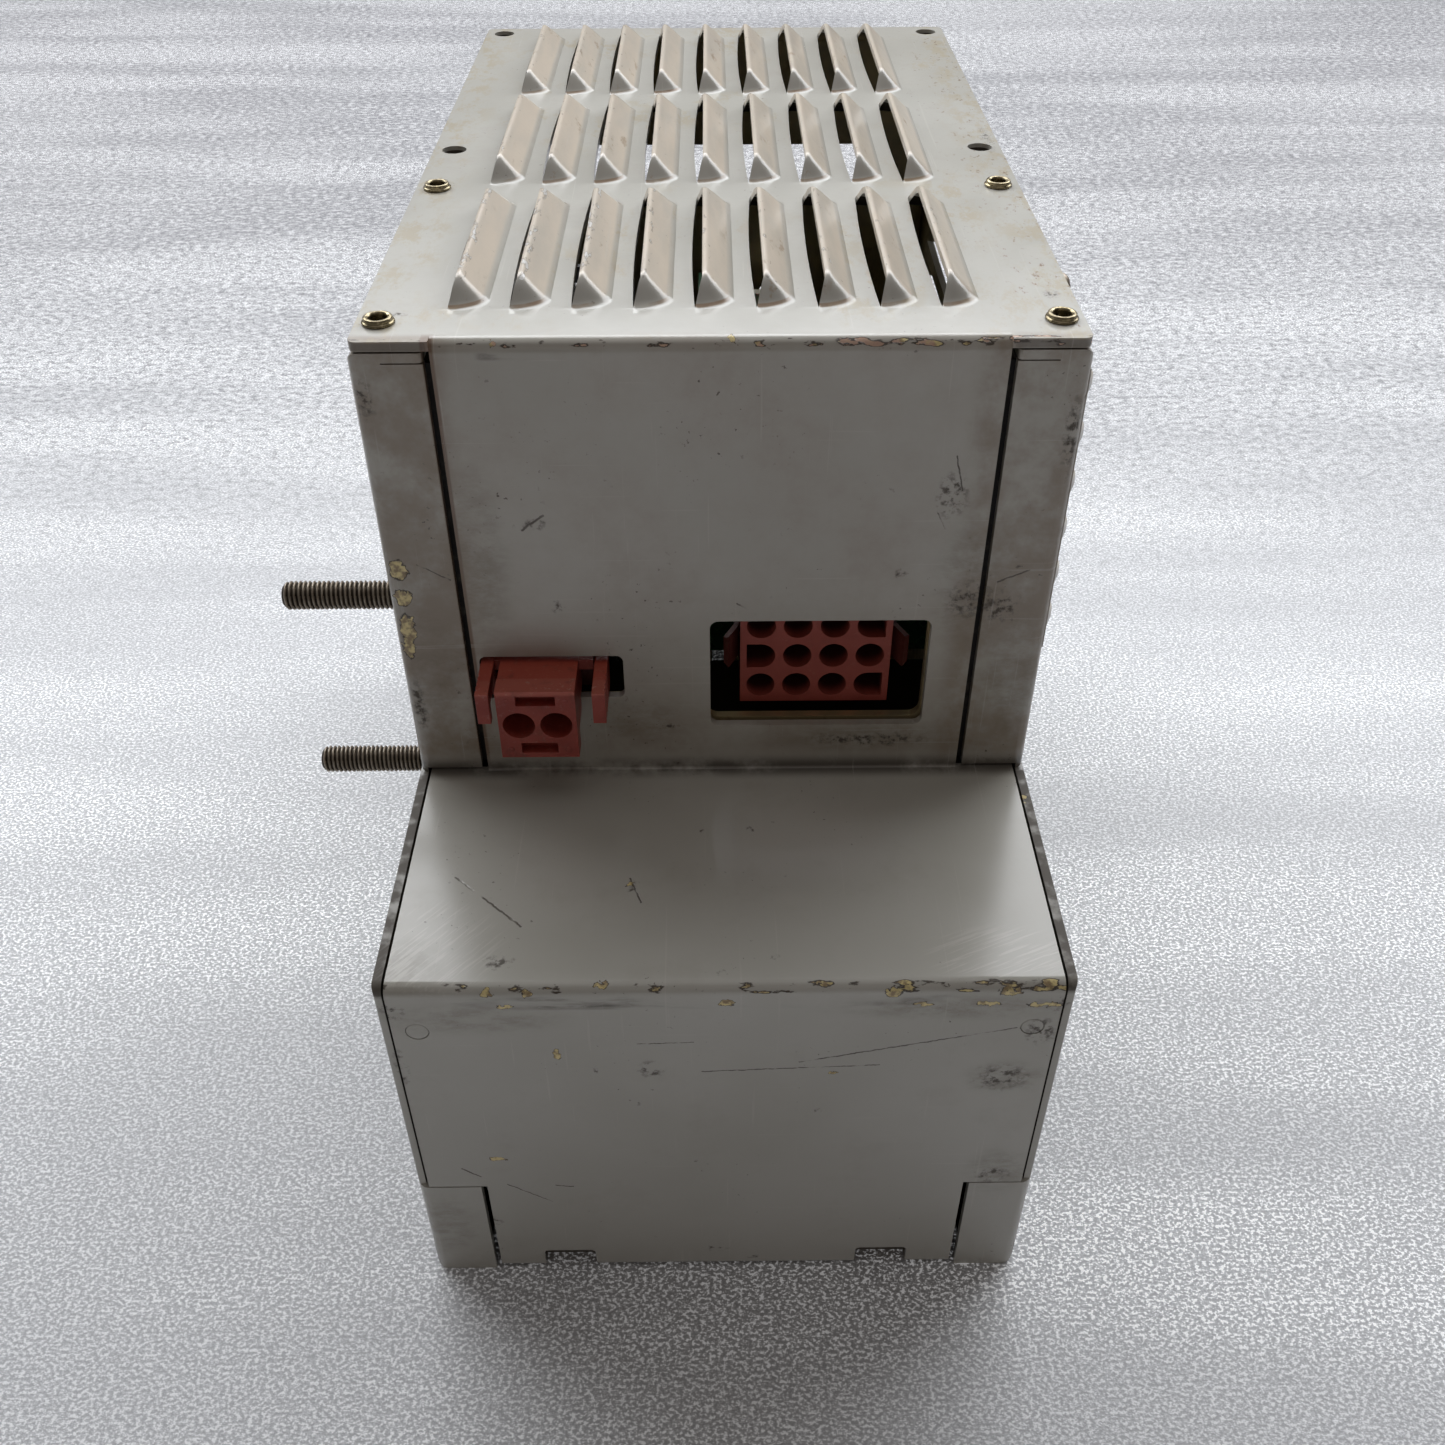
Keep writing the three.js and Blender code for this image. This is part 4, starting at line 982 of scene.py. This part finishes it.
def louvre_film(look, cloudy):
    """The brown film that settles on the louvres, and dirt at their feet. The film carries painted shade:
    greyer and darker on the near ends that face the front, paler on facets turned up or back.
    """
    raised = look.most(look.ease(look.z, TOP + 0.2, TOP + 0.9), look.ease(look.x, WALL + 0.2, WALL + 0.9))
    facing = look.add("SeparateXYZ", {0: look.add("NewGeometry", output="Normal")}, output="Y")
    # painted shade: the film is darker and greyer where a facet faces the front, paler where it faces up or
    # back
    film = look.mix(look.ease(facing, -0.15, -0.5), (0.71, 0.62, 0.515), (0.38, 0.365, 0.335))
    look.coat(film, raised, look.ease(look.noise(5, 5.0, (1, 4, 1)), 0.25, 0.7, 0.5, 0.9))
    smear = look.ease(look.noise(3, 6.0, (1, 3, 1), 0.7), 0.56, 0.68)
    look.coat((0.3, 0.21, 0.13), raised, smear, look.ease(look.noise(16, 2.0), 0.45, 0.6), 0.55)
    rises = (look.math("SUBTRACT", look.z, TOP), look.math("SUBTRACT", look.x, WALL))
    foot = look.most(*[look.between(rise, 0.2, 0.4, 0.16) for rise in rises])
    at_ends = look.ease(look.math("ABSOLUTE", facing), 0.1, 0.4, 0.15, 1.0)
    look.coat((0.27, 0.165, 0.09), foot, at_ends, look.ease(cloudy, 0.3, 0.6), 0.8)


def panel_film(look, cloudy):
    """The film on the upper panel with its rusty left edge, the smudges, and dirt beside the flanges."""
    on_panel = look.times(look.ease(look.y, PANEL + 3, PANEL + 1), look.ease(look.z, SHELF, SHELF + 6))
    look.coat((0.31, 0.24, 0.19), on_panel, look.ease(cloudy, 0.3, 0.7, 0.06, 0.3))
    left_edge = look.between(look.x, -PANEL_HALF - 1, -PANEL_HALF + 0.35, 0.4)
    look.coat((0.14, 0.06, 0.035), on_panel, left_edge, 0.8)
    mottled = look.ease(look.noise(3.5, 6.0, (2, 2, 1), 0.75), 0.36, 0.66, 0.1, 0.55)
    look.coat((0.19, 0.165, 0.12), look.ease(spots(look, look.mm, SMUDGES, 3, 2), 0, 0.8), mottled)
    beside_flange = look.ease(look.off(look.x, -1.2), PANEL_HALF - 5, PANEL_HALF)
    look.coat(BROWN_FILM, beside_flange, on_panel, look.ease(cloudy, 0.25, 0.6), 0.6)
    look.coat(BROWN_FILM, on_panel, look.ease(look.z, 106, 88), look.ease(cloudy, 0.3, 0.6), 0.22)


def top_stains(look):
    """Brown stains along the edges of the top plate, and rust on its right side."""
    on_top = look.times(look.ease(look.z, TOP - 0.6, TOP - 0.1), look.ease(look.z, TOP + 0.7, TOP + 0.3))
    near_edges = look.most(look.ease(look.off(look.x, 0), 42, 52), look.ease(look.noise(30, 2.0), 0.5, 0.65))
    stain = look.ease(look.noise(4, 6.0, (1, 2, 1), 0.75), 0.46, 0.62)
    look.coat((0.42, 0.35, 0.22), on_top, near_edges, stain, 0.5)
    rust = look.ease(look.noise(1.3, 5.0, (1, 1.6, 1), 0.7), 0.6, 0.68)
    look.coat((0.2, 0.11, 0.055), on_top, look.ease(look.x, 38, 50), rust, 0.75)


def darker_shelf_fold(look, cloudy):
    """Darker in patches in the fold between the shelf and the upper panel."""
    above_shelf = look.times(look.ease(look.z, SHELF + 3.5, SHELF + 0.5),
                             look.ease(look.z, SHELF - 2, SHELF - 0.5))
    # darker in patches along the fold
    look.coat(GRIME_AND_SHADE, look.between(look.y, PANEL - 0.5, PANEL + 1.5, 3), above_shelf,
              look.ease(cloudy, 0.3, 0.55), 0.75)


def scuff_grime(look, place):
    """Rubbed-in scuffs, and clusters of small specks."""
    rubbed = look.ease(look.noise(1.4, 5.0, roughness=0.65), 0.46, 0.6)
    scuffs = look.times(look.ease(spots(look, place, SCUFFS, 2, 1), 0, 0.6), rubbed, 0.85)
    clusters = look.ease(look.noise(18, 2.0), 0.5, 0.64)
    return look.most(scuffs, look.times(look.ease(look.noise(0.9, 3.0), 0.67, 0.72), clusters, 0.85))


def fold_grime(look):
    """Broken streaks under the front folds."""
    front_line = look.times(look.between(look.z, SHELF - 4.2, SHELF - 2.4, 0.9),
                            look.ease(look.y, FRONT + 1.6, FRONT + 0.6))
    top_line = look.times(look.between(look.z, TOP - 2.6, TOP - 2.0, 0.5), look.between(look.x, -34, -25, 2))
    streak = look.ease(look.noise(2.4, 4.0, (6, 1, 1)), 0.4, 0.6)
    broken = look.ease(look.noise(9, 3.0, (2, 1, 1)), 0.42, 0.6)
    return look.times(look.most(front_line, top_line), streak, broken, 0.7)


def edge_grime_and_shade(look):
    """Dirt on the walls' edges beside the shelf and on the ears' lower edge, painted shade in the hook slots,
    and darker inside the holes.
    """
    from_middle = look.off(look.x, 0)
    wall_edge = look.times(
        look.ease(from_middle, WALL_IN - 0.3, WALL_IN), look.ease(look.y, PANEL, PANEL - 1),
        look.ease(look.z, SHELF - 3.2, SHELF - 2), look.ease(look.noise(3, 4.0), 0.3, 0.55, 0.45, 0.85))
    ear_edge = look.times(
        look.ease(from_middle, PANEL_HALF + 0.2, PANEL_HALF + 0.8),
        look.ease(look.y, PANEL + 0.5, PANEL + 0.2), look.between(look.z, TOP - 1.3, TOP - 0.35, 0.2), 0.45)
    # painted shade: the insides of the hook slots are made dark
    hook = look.times(look.ease(look.z, 7, 6), look.between(look.y, FRONT + 0.9, FRONT + 5, 0.3), 0.8)
    # darker inside the bores of the plain holes
    bores = look.most(*[look.spot(look.mm, (x, y, TOP - 2.2), (3.2, 3.2, 2.2)) for x, y in PLAIN_HOLES])
    return look.most(wall_edge, ear_edge, hook, look.ease(bores, 0.0, 0.06, 0.0, 0.96))


def brushed_patches(look):
    """Fine parallel scratches where the shelf has been rubbed."""
    patches = []
    for x, y, across, along, angle in BRUSHED:
        turned_mm = look.add("VectorRotate", {"Vector": look.mm, "Angle": math.radians(-angle)},
                             rotation_type="Z_AXIS")
        stretched = look.add("VectorMath", {0: turned_mm, 1: (18, 1, 1)}, operation="DIVIDE")
        fine = look.add("TexNoise", {"Vector": stretched, "Scale": 2.6, "Detail": 4.0})
        reach = look.ease(look.spot(look.mm, (x, y, SHELF), (across, along, 3)), 0, 0.5)
        patches.append(look.times(reach, look.ease(fine, 0.5, 0.64)))
    return look.most(*patches)


def long_scratches(look, place):
    """The long scratches, broken here and there."""
    found = [look.scratch(place, FACES[face](u, v, 0), FACES[face](u_end, v_end, 0), half_width)
             for face, rows in SCRATCHES.items() for u, v, u_end, v_end, half_width in rows]
    return look.times(look.most(*found), look.ease(look.noise(5, 4.0), 0.34, 0.5))


def loss_over(look, wear, level):
    """Paint loss where the wear is over a level."""
    return look.times(look.math("SUBTRACT", wear, level), 4.0)


def fold_loss(look, fold_y, fold_z, size, reach):
    """Paint worn off a front fold, more so on the right."""
    dy = look.math("SUBTRACT", look.y, fold_y + 0.6)
    dz = look.math("SUBTRACT", look.z, fold_z - 0.6)
    distance = look.math("SQRT", look.math("ADD", look.times(dy, dy), look.times(dz, dz)))
    more_right = look.ease(look.x, 6, 18, 0.0, 0.075)
    rough = look.math("ADD", look.noise(size, 4.0, (2.4, 1, 1)), more_right)
    return loss_over(look, look.times(look.ease(distance, reach, reach * 0.25), rough), 0.61)


def paint_loss(look, place):
    """Where the paint is gone: above 0 it is chipped, and rises with the depth into the chip."""
    flange_edge = look.ease(look.off(look.off(look.x, 0), WALL), 1.3, 0.2)
    beside_panel = look.times(look.between(look.y, PANEL - 0.3, PANEL + 0.6, 1.4),
                              look.ease(look.z, SHELF - 1, SHELF))
    at_front = look.most(beside_panel, look.between(look.y, FRONT - 0.3, FRONT + 0.6, 1.4))
    flange = look.times(flange_edge, at_front, look.noise(1.1, 4.0, (1, 1, 2.5)))
    front_left = look.times(look.ease(look.x, 0, -30, 0.9, 1.06), look.ease(look.y, 12, -5, 0.86, 1.0))
    lip = look.times(look.ease(look.z, TOP + 2.6, TOP + 3.2), look.noise(1.0, 4.0, (1, 3, 1)), front_left)
    chips = look.times(spots(look, place, CHIPS, 2, 1), 1.6)
    return look.most(fold_loss(look, PANEL, TOP, 1.5, 1.7), fold_loss(look, FRONT, SHELF, 1.8, 2.2),
                     loss_over(look, flange, 0.6), loss_over(look, lip, 0.6), chips)


def under_paint(look):
    """The metal shown by a chip: chromate, primer near the top fold, and bare steel on the louvres."""
    metal = look.mix(look.ease(look.noise(1.1, 4.0), 0.4, 0.62), CHROMATE, (0.3, 0.22, 0.12))
    primer = look.times(look.ease(look.z, TOP - 4, TOP - 2), look.ease(look.noise(3, 2.0), 0.42, 0.52), 0.85)
    metal = look.mix(primer, metal, (0.56, 0.36, 0.29))
    return look.mix(look.ease(look.z, TOP + 0.5, TOP + 1.5), metal, (0.68, 0.67, 0.65))


def enamel():
    """Warm grey enamel over yellow chromate: a brown film, dirt, scratches and chips, with painted shade on
    the louvres' near ends and in the hook slots.
    """
    look = Look("worn_enamel", specular_ior_level=0.55)
    noise = look.add("TexNoise", {"Vector": look.mm, "Scale": 0.9, "Detail": 4.0}, output="Color")
    shift = look.add("VectorMath", {0: noise, 1: (0.5, 0.5, 0.5)}, operation="SUBTRACT")
    ragged, wavy = (look.add("VectorMath", {0: shift, 1: (reach,) * 3, 2: look.mm}, operation="MULTIPLY_ADD")
                    for reach in (2.4, 0.5))
    cloudy = look.noise(14, 5.0, roughness=0.65)
    look.blend(look.ease(look.noise(55, 3.0), 0.35, 0.65), (0.44, 0.43, 0.39), (0.49, 0.482, 0.445))
    look.coat(BROWN_FILM, look.ease(cloudy, 0.5, 0.8, 0, 0.14))
    louvre_film(look, cloudy)
    panel_film(look, cloudy)
    top_stains(look)
    darker_shelf_fold(look, cloudy)

    # scuffs, streaks and dirt on the edges, with painted shade in the hook slots
    grime_and_shade = look.most(scuff_grime(look, ragged), fold_grime(look), edge_grime_and_shade(look))
    look.coat(GRIME_AND_SHADE, grime_and_shade)
    hair = [look.ease(look.noise(1.4, 2.0, run), 0.68, 0.73) for run in ((26, 26, 0.5), (0.5, 30, 22))]
    look.coat((0.66, 0.64, 0.6), look.most(*hair), 0.16)
    look.coat((0.74, 0.72, 0.68), brushed_patches(look), 0.3)
    lines = long_scratches(look, wavy)
    look.coat((0.07, 0.055, 0.045), lines, 0.85)

    loss = paint_loss(look, ragged)
    bare = look.ease(loss, 0.08, 0.16)
    look.coat(GRIME_AND_SHADE, look.ease(loss, -0.2, 0.0), look.ease(look.z, TOP + 1.2, TOP + 0.6, 0.35, 0.9))
    look.coat(under_paint(look), bare)
    rough = look.math("MAXIMUM", look.ease(cloudy, 0.3, 0.75, 0.2, 0.25), look.times(grime_and_shade, 0.8))
    depth = look.math("ADD", look.times(bare, 0.9), look.times(lines, 0.6))
    return look.finish(rough, look.math("SUBTRACT", look.times(look.noise(1.3, 2.0), 0.14), depth), 0.09)


def yellow_zinc():
    """Bare sheet with yellow chromate: patchy gold with a faint rolled grain, dark where no light gets in."""
    look = Look("yellow_zinc", metallic=0.6)
    patch = look.noise(9, 4.0)
    look.blend(look.ease(patch, 0.35, 0.7), (0.46, 0.37, 0.2), (0.36, 0.31, 0.2))
    stain = look.ease(look.noise(4, 5.0), 0.6, 0.75)
    look.coat((0.12, 0.08, 0.04), stain, 0.6)
    look.coat((0.09, 0.072, 0.048), look.ease(look.y, FRONT + 4.5, FRONT + 4),
              look.ease(patch, 0.3, 0.7, 0.55, 0.85))
    behind_bracket = look.times(look.between(look.y, PANEL + 5, PANEL + 40, 1.2),
                                look.between(look.z, 84, 128, 2))
    behind_gap = look.times(look.ease(look.off(look.x, 0), 41.2, 41.8),
                            look.ease(look.y, PANEL + 80, PANEL + 75))
    behind_hook = look.times(look.between(look.y, FRONT + 5, FRONT + 24, 1), look.ease(look.z, 10, 8))
    under_top = look.times(look.ease(look.z, TOP - 12, TOP - 6), look.ease(look.y, REAR - 6, REAR - 10))
    dark = look.most(behind_bracket, behind_gap, behind_hook, under_top)
    look.coat((0.012, 0.01, 0.008), dark, 0.94)
    relief = look.math("ADD", look.noise(0.7, 3.0, (1, 30, 1)), look.times(stain, 0.4))
    return look.finish(look.math("MAXIMUM", look.ease(patch, 0.3, 0.7, 0.3, 0.5), dark), relief, 0.02)


def turned_metal(name, bright, dull, roughness, axis_stretch, grime_share):
    """A machined metal: rings of tool marks, duller patches and dirt."""
    look = Look(name, metallic=0.9)
    patch = look.noise(1.6, 4.0)
    look.blend(look.ease(patch, 0.35, 0.65), bright, dull)
    look.coat(GRIME_AND_SHADE, look.ease(look.noise(0.8, 5.0), 0.62, 0.5), grime_share)
    rough = look.ease(patch, 0.3, 0.7, roughness - 0.08, roughness + 0.12)
    return look.finish(rough, look.math("ADD", look.noise(0.35, 2.0, axis_stretch), patch), 0.015)


def red_moulding():
    """Brick red nylon: paler scuffs, brown dust and a fine mould grain, with painted light on the plug's top
    and the header's front face, painted shade deeper than the header's face, and darker ears.
    """
    look = Look("red_moulding", specular_ior_level=0.5)
    broad = look.noise(5, 4.0)
    scuff = look.ease(look.noise(1.1, 6.0, roughness=0.7), 0.56, 0.7)
    look.blend(look.ease(broad, 0.3, 0.7), (0.26, 0.036, 0.026), (0.34, 0.06, 0.042))
    plug_top = look.ease(look.z, PLUG_HIGH.z - 1.1, PLUG_HIGH.z - 0.5)
    # painted light: the plug's top face in front of the panel is a paler red, as if lit from above
    look.coat((0.54, 0.1, 0.06), plug_top, look.ease(look.y, PANEL, PANEL - 1), 0.6)
    plug_lip = look.times(plug_top, look.ease(look.y, PLUG_LOW.y + 4.4, PLUG_LOW.y + 3.2))
    look.coat((0.6, 0.32, 0.26), look.most(look.times(scuff, 0.2),
                                           look.times(plug_lip, look.ease(scuff, 0, 1, 0.15, 0.7))))
    look.coat((0.085, 0.035, 0.022), look.ease(look.noise(2.4, 5.0), 0.55, 0.72), 0.35)
    header_middle = (HEADER_LOW.x + HEADER_HIGH.x) / 2
    # painted light: the header's front face is a lighter red
    look.coat((0.46, 0.11, 0.085), look.ease(look.y, HEADER_LOW.y - 0.5, HEADER_LOW.y),
              look.ease(look.x, -8, -6), 0.5)
    # painted shade: near black deeper than the header's face, in its cavities and behind it; the ears are
    # made darker too
    deep = look.times(look.ease(look.y, HEADER_LOW.y + 0.4, HEADER_LOW.y + 3.5), 0.85)
    ears = look.times(look.ease(look.off(look.x, header_middle), 13.2, 13.5),
                      look.ease(look.y, PANEL + 3, PANEL + 4), 0.75)
    look.coat((0.03, 0.012, 0.01), look.most(deep, ears))
    relief = look.math("ADD", look.noise(0.25, 2.0), look.times(scuff, 1.2))
    return look.finish(look.ease(broad, 0.3, 0.7, 0.32, 0.48), relief, 0.02)


def moulded(name, base, other, roughness, grain=0.3, **sockets):
    """A moulded or coated surface with a fine grain, a faint blotch of a second shade, and dust."""
    look = Look(name, **sockets)
    blotch = look.noise(6, 4.0)
    look.blend(look.ease(blotch, 0.3, 0.7), base, other)
    look.coat((0.16, 0.14, 0.115), look.ease(look.noise(3, 5.0), 0.5, 0.75, 0, 0.3))
    rough = look.ease(blotch, 0.3, 0.7, roughness - 0.08, roughness + 0.12)
    return look.finish(rough, look.noise(grain, 2.0), 0.015)


def circuit_laminate():
    """Green solder resist over copper tracks, with dust."""
    look = Look("circuit_laminate", specular_ior_level=0.5)
    tracks = look.add("TexVoronoi", {"Vector": look.mm, "Scale": 0.35}, output="Distance",
                      distance="MANHATTAN", feature="F1")
    line = look.times(look.ease(tracks, 0.42, 0.46), look.ease(tracks, 0.54, 0.5))
    look.blend(look.ease(look.noise(12, 3.0), 0.3, 0.7), (0.012, 0.07, 0.022), (0.02, 0.095, 0.03))
    look.coat((0.05, 0.19, 0.06), line)
    look.coat((0.12, 0.1, 0.07), look.ease(look.noise(4, 5.0), 0.55, 0.8, 0, 0.4))
    return look.finish(look.ease(tracks, 0.1, 0.6, 0.3, 0.5), line, 0.03)


def copper_wire():
    """Close turns of enamelled wire."""
    look = Look("enamelled_wire", metallic=0.6)
    turns = look.add("TexWave", {"Vector": look.mm, "Scale": 0.55, "Distortion": 1.5, "Detail Scale": 0.3},
                     output="Fac", bands_direction="Z")
    look.blend(look.ease(turns, 0.2, 0.8), (0.1, 0.03, 0.012), (0.42, 0.16, 0.06))
    look.coat((0.06, 0.035, 0.02), look.ease(look.noise(5, 4.0), 0.5, 0.75, 0, 0.5))
    return look.finish(look.ease(turns, 0, 1, 0.5, 0.3), turns, 0.12)


def pearly_floor():
    """Pale pearly film with fine pebbling, small grey pits and broad soft bands, with painted glints that
    glow near the front, painted light towards the front and painted shade towards the back.
    """
    look = Look("pearly_floor", specular_ior_level=0.5)
    pebbles = look.noise(0.6, 3.0, (1.3, 1, 1), 0.65)
    clumps = look.noise(2.4, 3.0, (1.5, 1, 1), 0.7)
    bands = look.noise(55, 2.5, (6, 1, 1))
    look.blend(look.ease(bands, 0.35, 0.65), (0.49, 0.5, 0.525), (0.58, 0.593, 0.62))
    look.coat((0.45, 0.455, 0.48), look.ease(look.noise(220, 2.0), 0.35, 0.65, 0, 0.3))
    # painted light: lighter towards the front
    look.coat((0.8, 0.81, 0.84), look.ease(look.y, -80, -260, 0, 0.5))
    # painted shade: darker towards the back
    look.coat((0.2, 0.2, 0.215), look.ease(look.y, 40, 520, 0, 0.93))
    look.coat((0.27, 0.275, 0.295), look.ease(pebbles, 0.52, 0.4), 0.5)
    # painted glints: near-white specks on the pebbles, more of them in the bright bands
    painted_glint = look.times(look.ease(pebbles, 0.52, 0.58), look.ease(bands, 0.35, 0.65, 0.35, 1.0))
    look.coat((0.98, 0.985, 1.0), painted_glint)
    # painted glints farther back on bigger clumps, and dark pits between them
    far = look.ease(look.y, 40, 300)
    look.coat((0.9, 0.905, 0.92), look.ease(clumps, 0.5, 0.62), far, 0.4)
    look.coat((0.12, 0.12, 0.13), look.ease(clumps, 0.48, 0.36), far, 0.6)
    # the painted glints glow faintly near the front, though the floor is no lamp
    look.set("Emission Color", (0.95, 0.97, 1.0, 1.0))
    look.set("Emission Strength", look.times(painted_glint, look.ease(look.y, 200, 0), 0.16))
    return look.finish(look.ease(pebbles, 0.35, 0.65, 0.5, 0.34), pebbles, 0.1)


# ---- the frame's own nodes ------------------------


def dress_frame(finishes):
    """Gives the nodes that no piece stands in for their finishes and small radii."""
    replaced = {node for piece in bpy.data.objects for node in piece.get("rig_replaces", [])}
    slots = {part["node"]: part["material_slot"] for part in frame["record"]["subparts"]}
    for name, node in frame["nodes"].items():
        if name not in replaced:
            node.data.materials.clear()
            node.data.materials.append(finishes[slots[name]])
            round_edges(node, 0.15)


# ---- the stage ------------------------


def floor(material):
    """A wide flat sheet, in a grid of squares."""
    size, steps = 2400, 60
    points = []
    for i in range(steps + 1):
        for j in range(steps + 1):
            points.append((size * (i / steps - 0.5), size * (j / steps - 0.35), -0.05))
    faces = [(i * (steps + 1) + j, (i + 1) * (steps + 1) + j, (i + 1) * (steps + 1) + j + 1,
              i * (steps + 1) + j + 1) for i in range(steps) for j in range(steps)]
    sheet = new_object("floor_sheet", points, faces)
    sheet.data.materials.append(material)


def area_light(name, place, target, size, watts, colour=(1, 1, 1)):
    light = bpy.data.lights.new(name, "AREA")
    light.shape = "RECTANGLE"
    light.size, light.size_y = size
    light.energy = watts
    light.color = colour
    lamp = add_object(name, light)
    lamp.location = place
    lamp.rotation_euler = (Vector(target) - Vector(place)).to_track_quat("-Z", "Y").to_euler()


def light_the_stage():
    area_light("rear_softbox", (0, 0.9, 1.0), (0, 0.3, 0), (3.2, 0.8), 43, (0.955, 0.975, 1.0))
    area_light("overhead_fill", (0, -0.15, 1.3), (0, -0.1, 0), (1.2, 0.8), 1.35, (1.0, 0.97, 0.94))
    area_light("front_fill", (0, -1.5, 1.1), (0, 0, 0.05), (1.6, 0.8), 0.7, (1.0, 0.79, 0.66))
    world = bpy.data.worlds.new("soft_room")
    world.use_nodes = True
    background = world.node_tree.nodes["Background"]
    background.inputs["Color"].default_value = (1.0, 0.92, 0.86, 1)
    background.inputs["Strength"].default_value = 0.11
    scene = bpy.context.scene
    scene.world = world
    scene.view_settings.view_transform = "Standard"


def camera():
    """In front and above: 39.65 degrees down, a 35 mm lens on a full-frame width."""
    pitch, yaw, roll = (math.radians(angle) for angle in (39.653, 0.393, 0.175))
    forward = Vector((math.sin(yaw) * math.cos(pitch), math.cos(yaw) * math.cos(pitch), -math.sin(pitch)))
    level = Vector((math.cos(yaw), -math.sin(yaw), 0))
    right = level * math.cos(roll) + forward.cross(level) * math.sin(roll)
    data = bpy.data.cameras.new("photo_camera")
    data.sensor_width = 36
    data.lens = 35.06
    eye = add_object("photo_camera", data)
    up = right.cross(forward)
    eye.matrix_world = Matrix((right, up, -forward)).transposed().to_4x4()
    eye.location = (-0.00123, -0.2524, 0.2498)
    bpy.context.scene.camera = eye


# ---- everything ------------------------

camera()
light_the_stage()
floor(pearly_floor())

PAINT = enamel()
ZINC = yellow_zinc()
STEEL = turned_metal("dull_steel", (0.5, 0.47, 0.43), (0.36, 0.33, 0.29), 0.38, (1, 1, 12), 0.35)
DARK_STEEL = turned_metal("brown_steel", (0.5, 0.44, 0.37), (0.36, 0.3, 0.24), 0.42, (12, 1, 1), 0.3)
THREAD_DIRT = turned_metal("thread_dirt", (0.1, 0.08, 0.062), (0.06, 0.048, 0.038), 0.6, (12, 1, 1), 0.5)
BRASS = turned_metal("yellow_bush", (0.6, 0.51, 0.3), (0.4, 0.34, 0.22), 0.26, (1, 1, 12), 0.6)
RED = red_moulding()

FINISHES = {
    "painted_sheet": PAINT,
    "zinc_sheet": ZINC,
    "brass": BRASS,
    "steel": STEEL,
    "red_plastic": RED,
    "circuit_board": circuit_laminate(),
    "heat_sink_aluminium": turned_metal("extruded_aluminium", (0.52, 0.53, 0.54), (0.4, 0.41, 0.42), 0.36,
                                        (1, 1, 20), 0.3),
    "black_plastic": moulded("black_moulding", (0.012, 0.012, 0.014), (0.025, 0.024, 0.024), 0.5),
    "pale_plastic": moulded("cream_moulding", (0.55, 0.5, 0.37), (0.48, 0.43, 0.31), 0.5),
    "capacitor_sleeve": moulded("blue_sleeve", (0.012, 0.03, 0.11), (0.02, 0.045, 0.15), 0.35,
                                coat_weight=0.3),
    "copper_winding": copper_wire(),
    "lead_insulation": moulded("red_insulation", (0.3, 0.02, 0.015), (0.22, 0.02, 0.015), 0.5),
    "nylon": moulded("natural_nylon", (0.62, 0.58, 0.48), (0.55, 0.5, 0.4), 0.45, subsurface_weight=0.1),
}

# the black strips' finish is painted shade for the gaps
make_case(PAINT, ZINC, moulded("black_shade_strip", (0.012, 0.012, 0.013), (0.02, 0.019, 0.018), 0.8, 0.6))
make_fasteners(STEEL, BRASS, PAINT, DARK_STEEL, THREAD_DIRT)
make_connectors(RED, BRASS)
dress_frame(FINISHES)
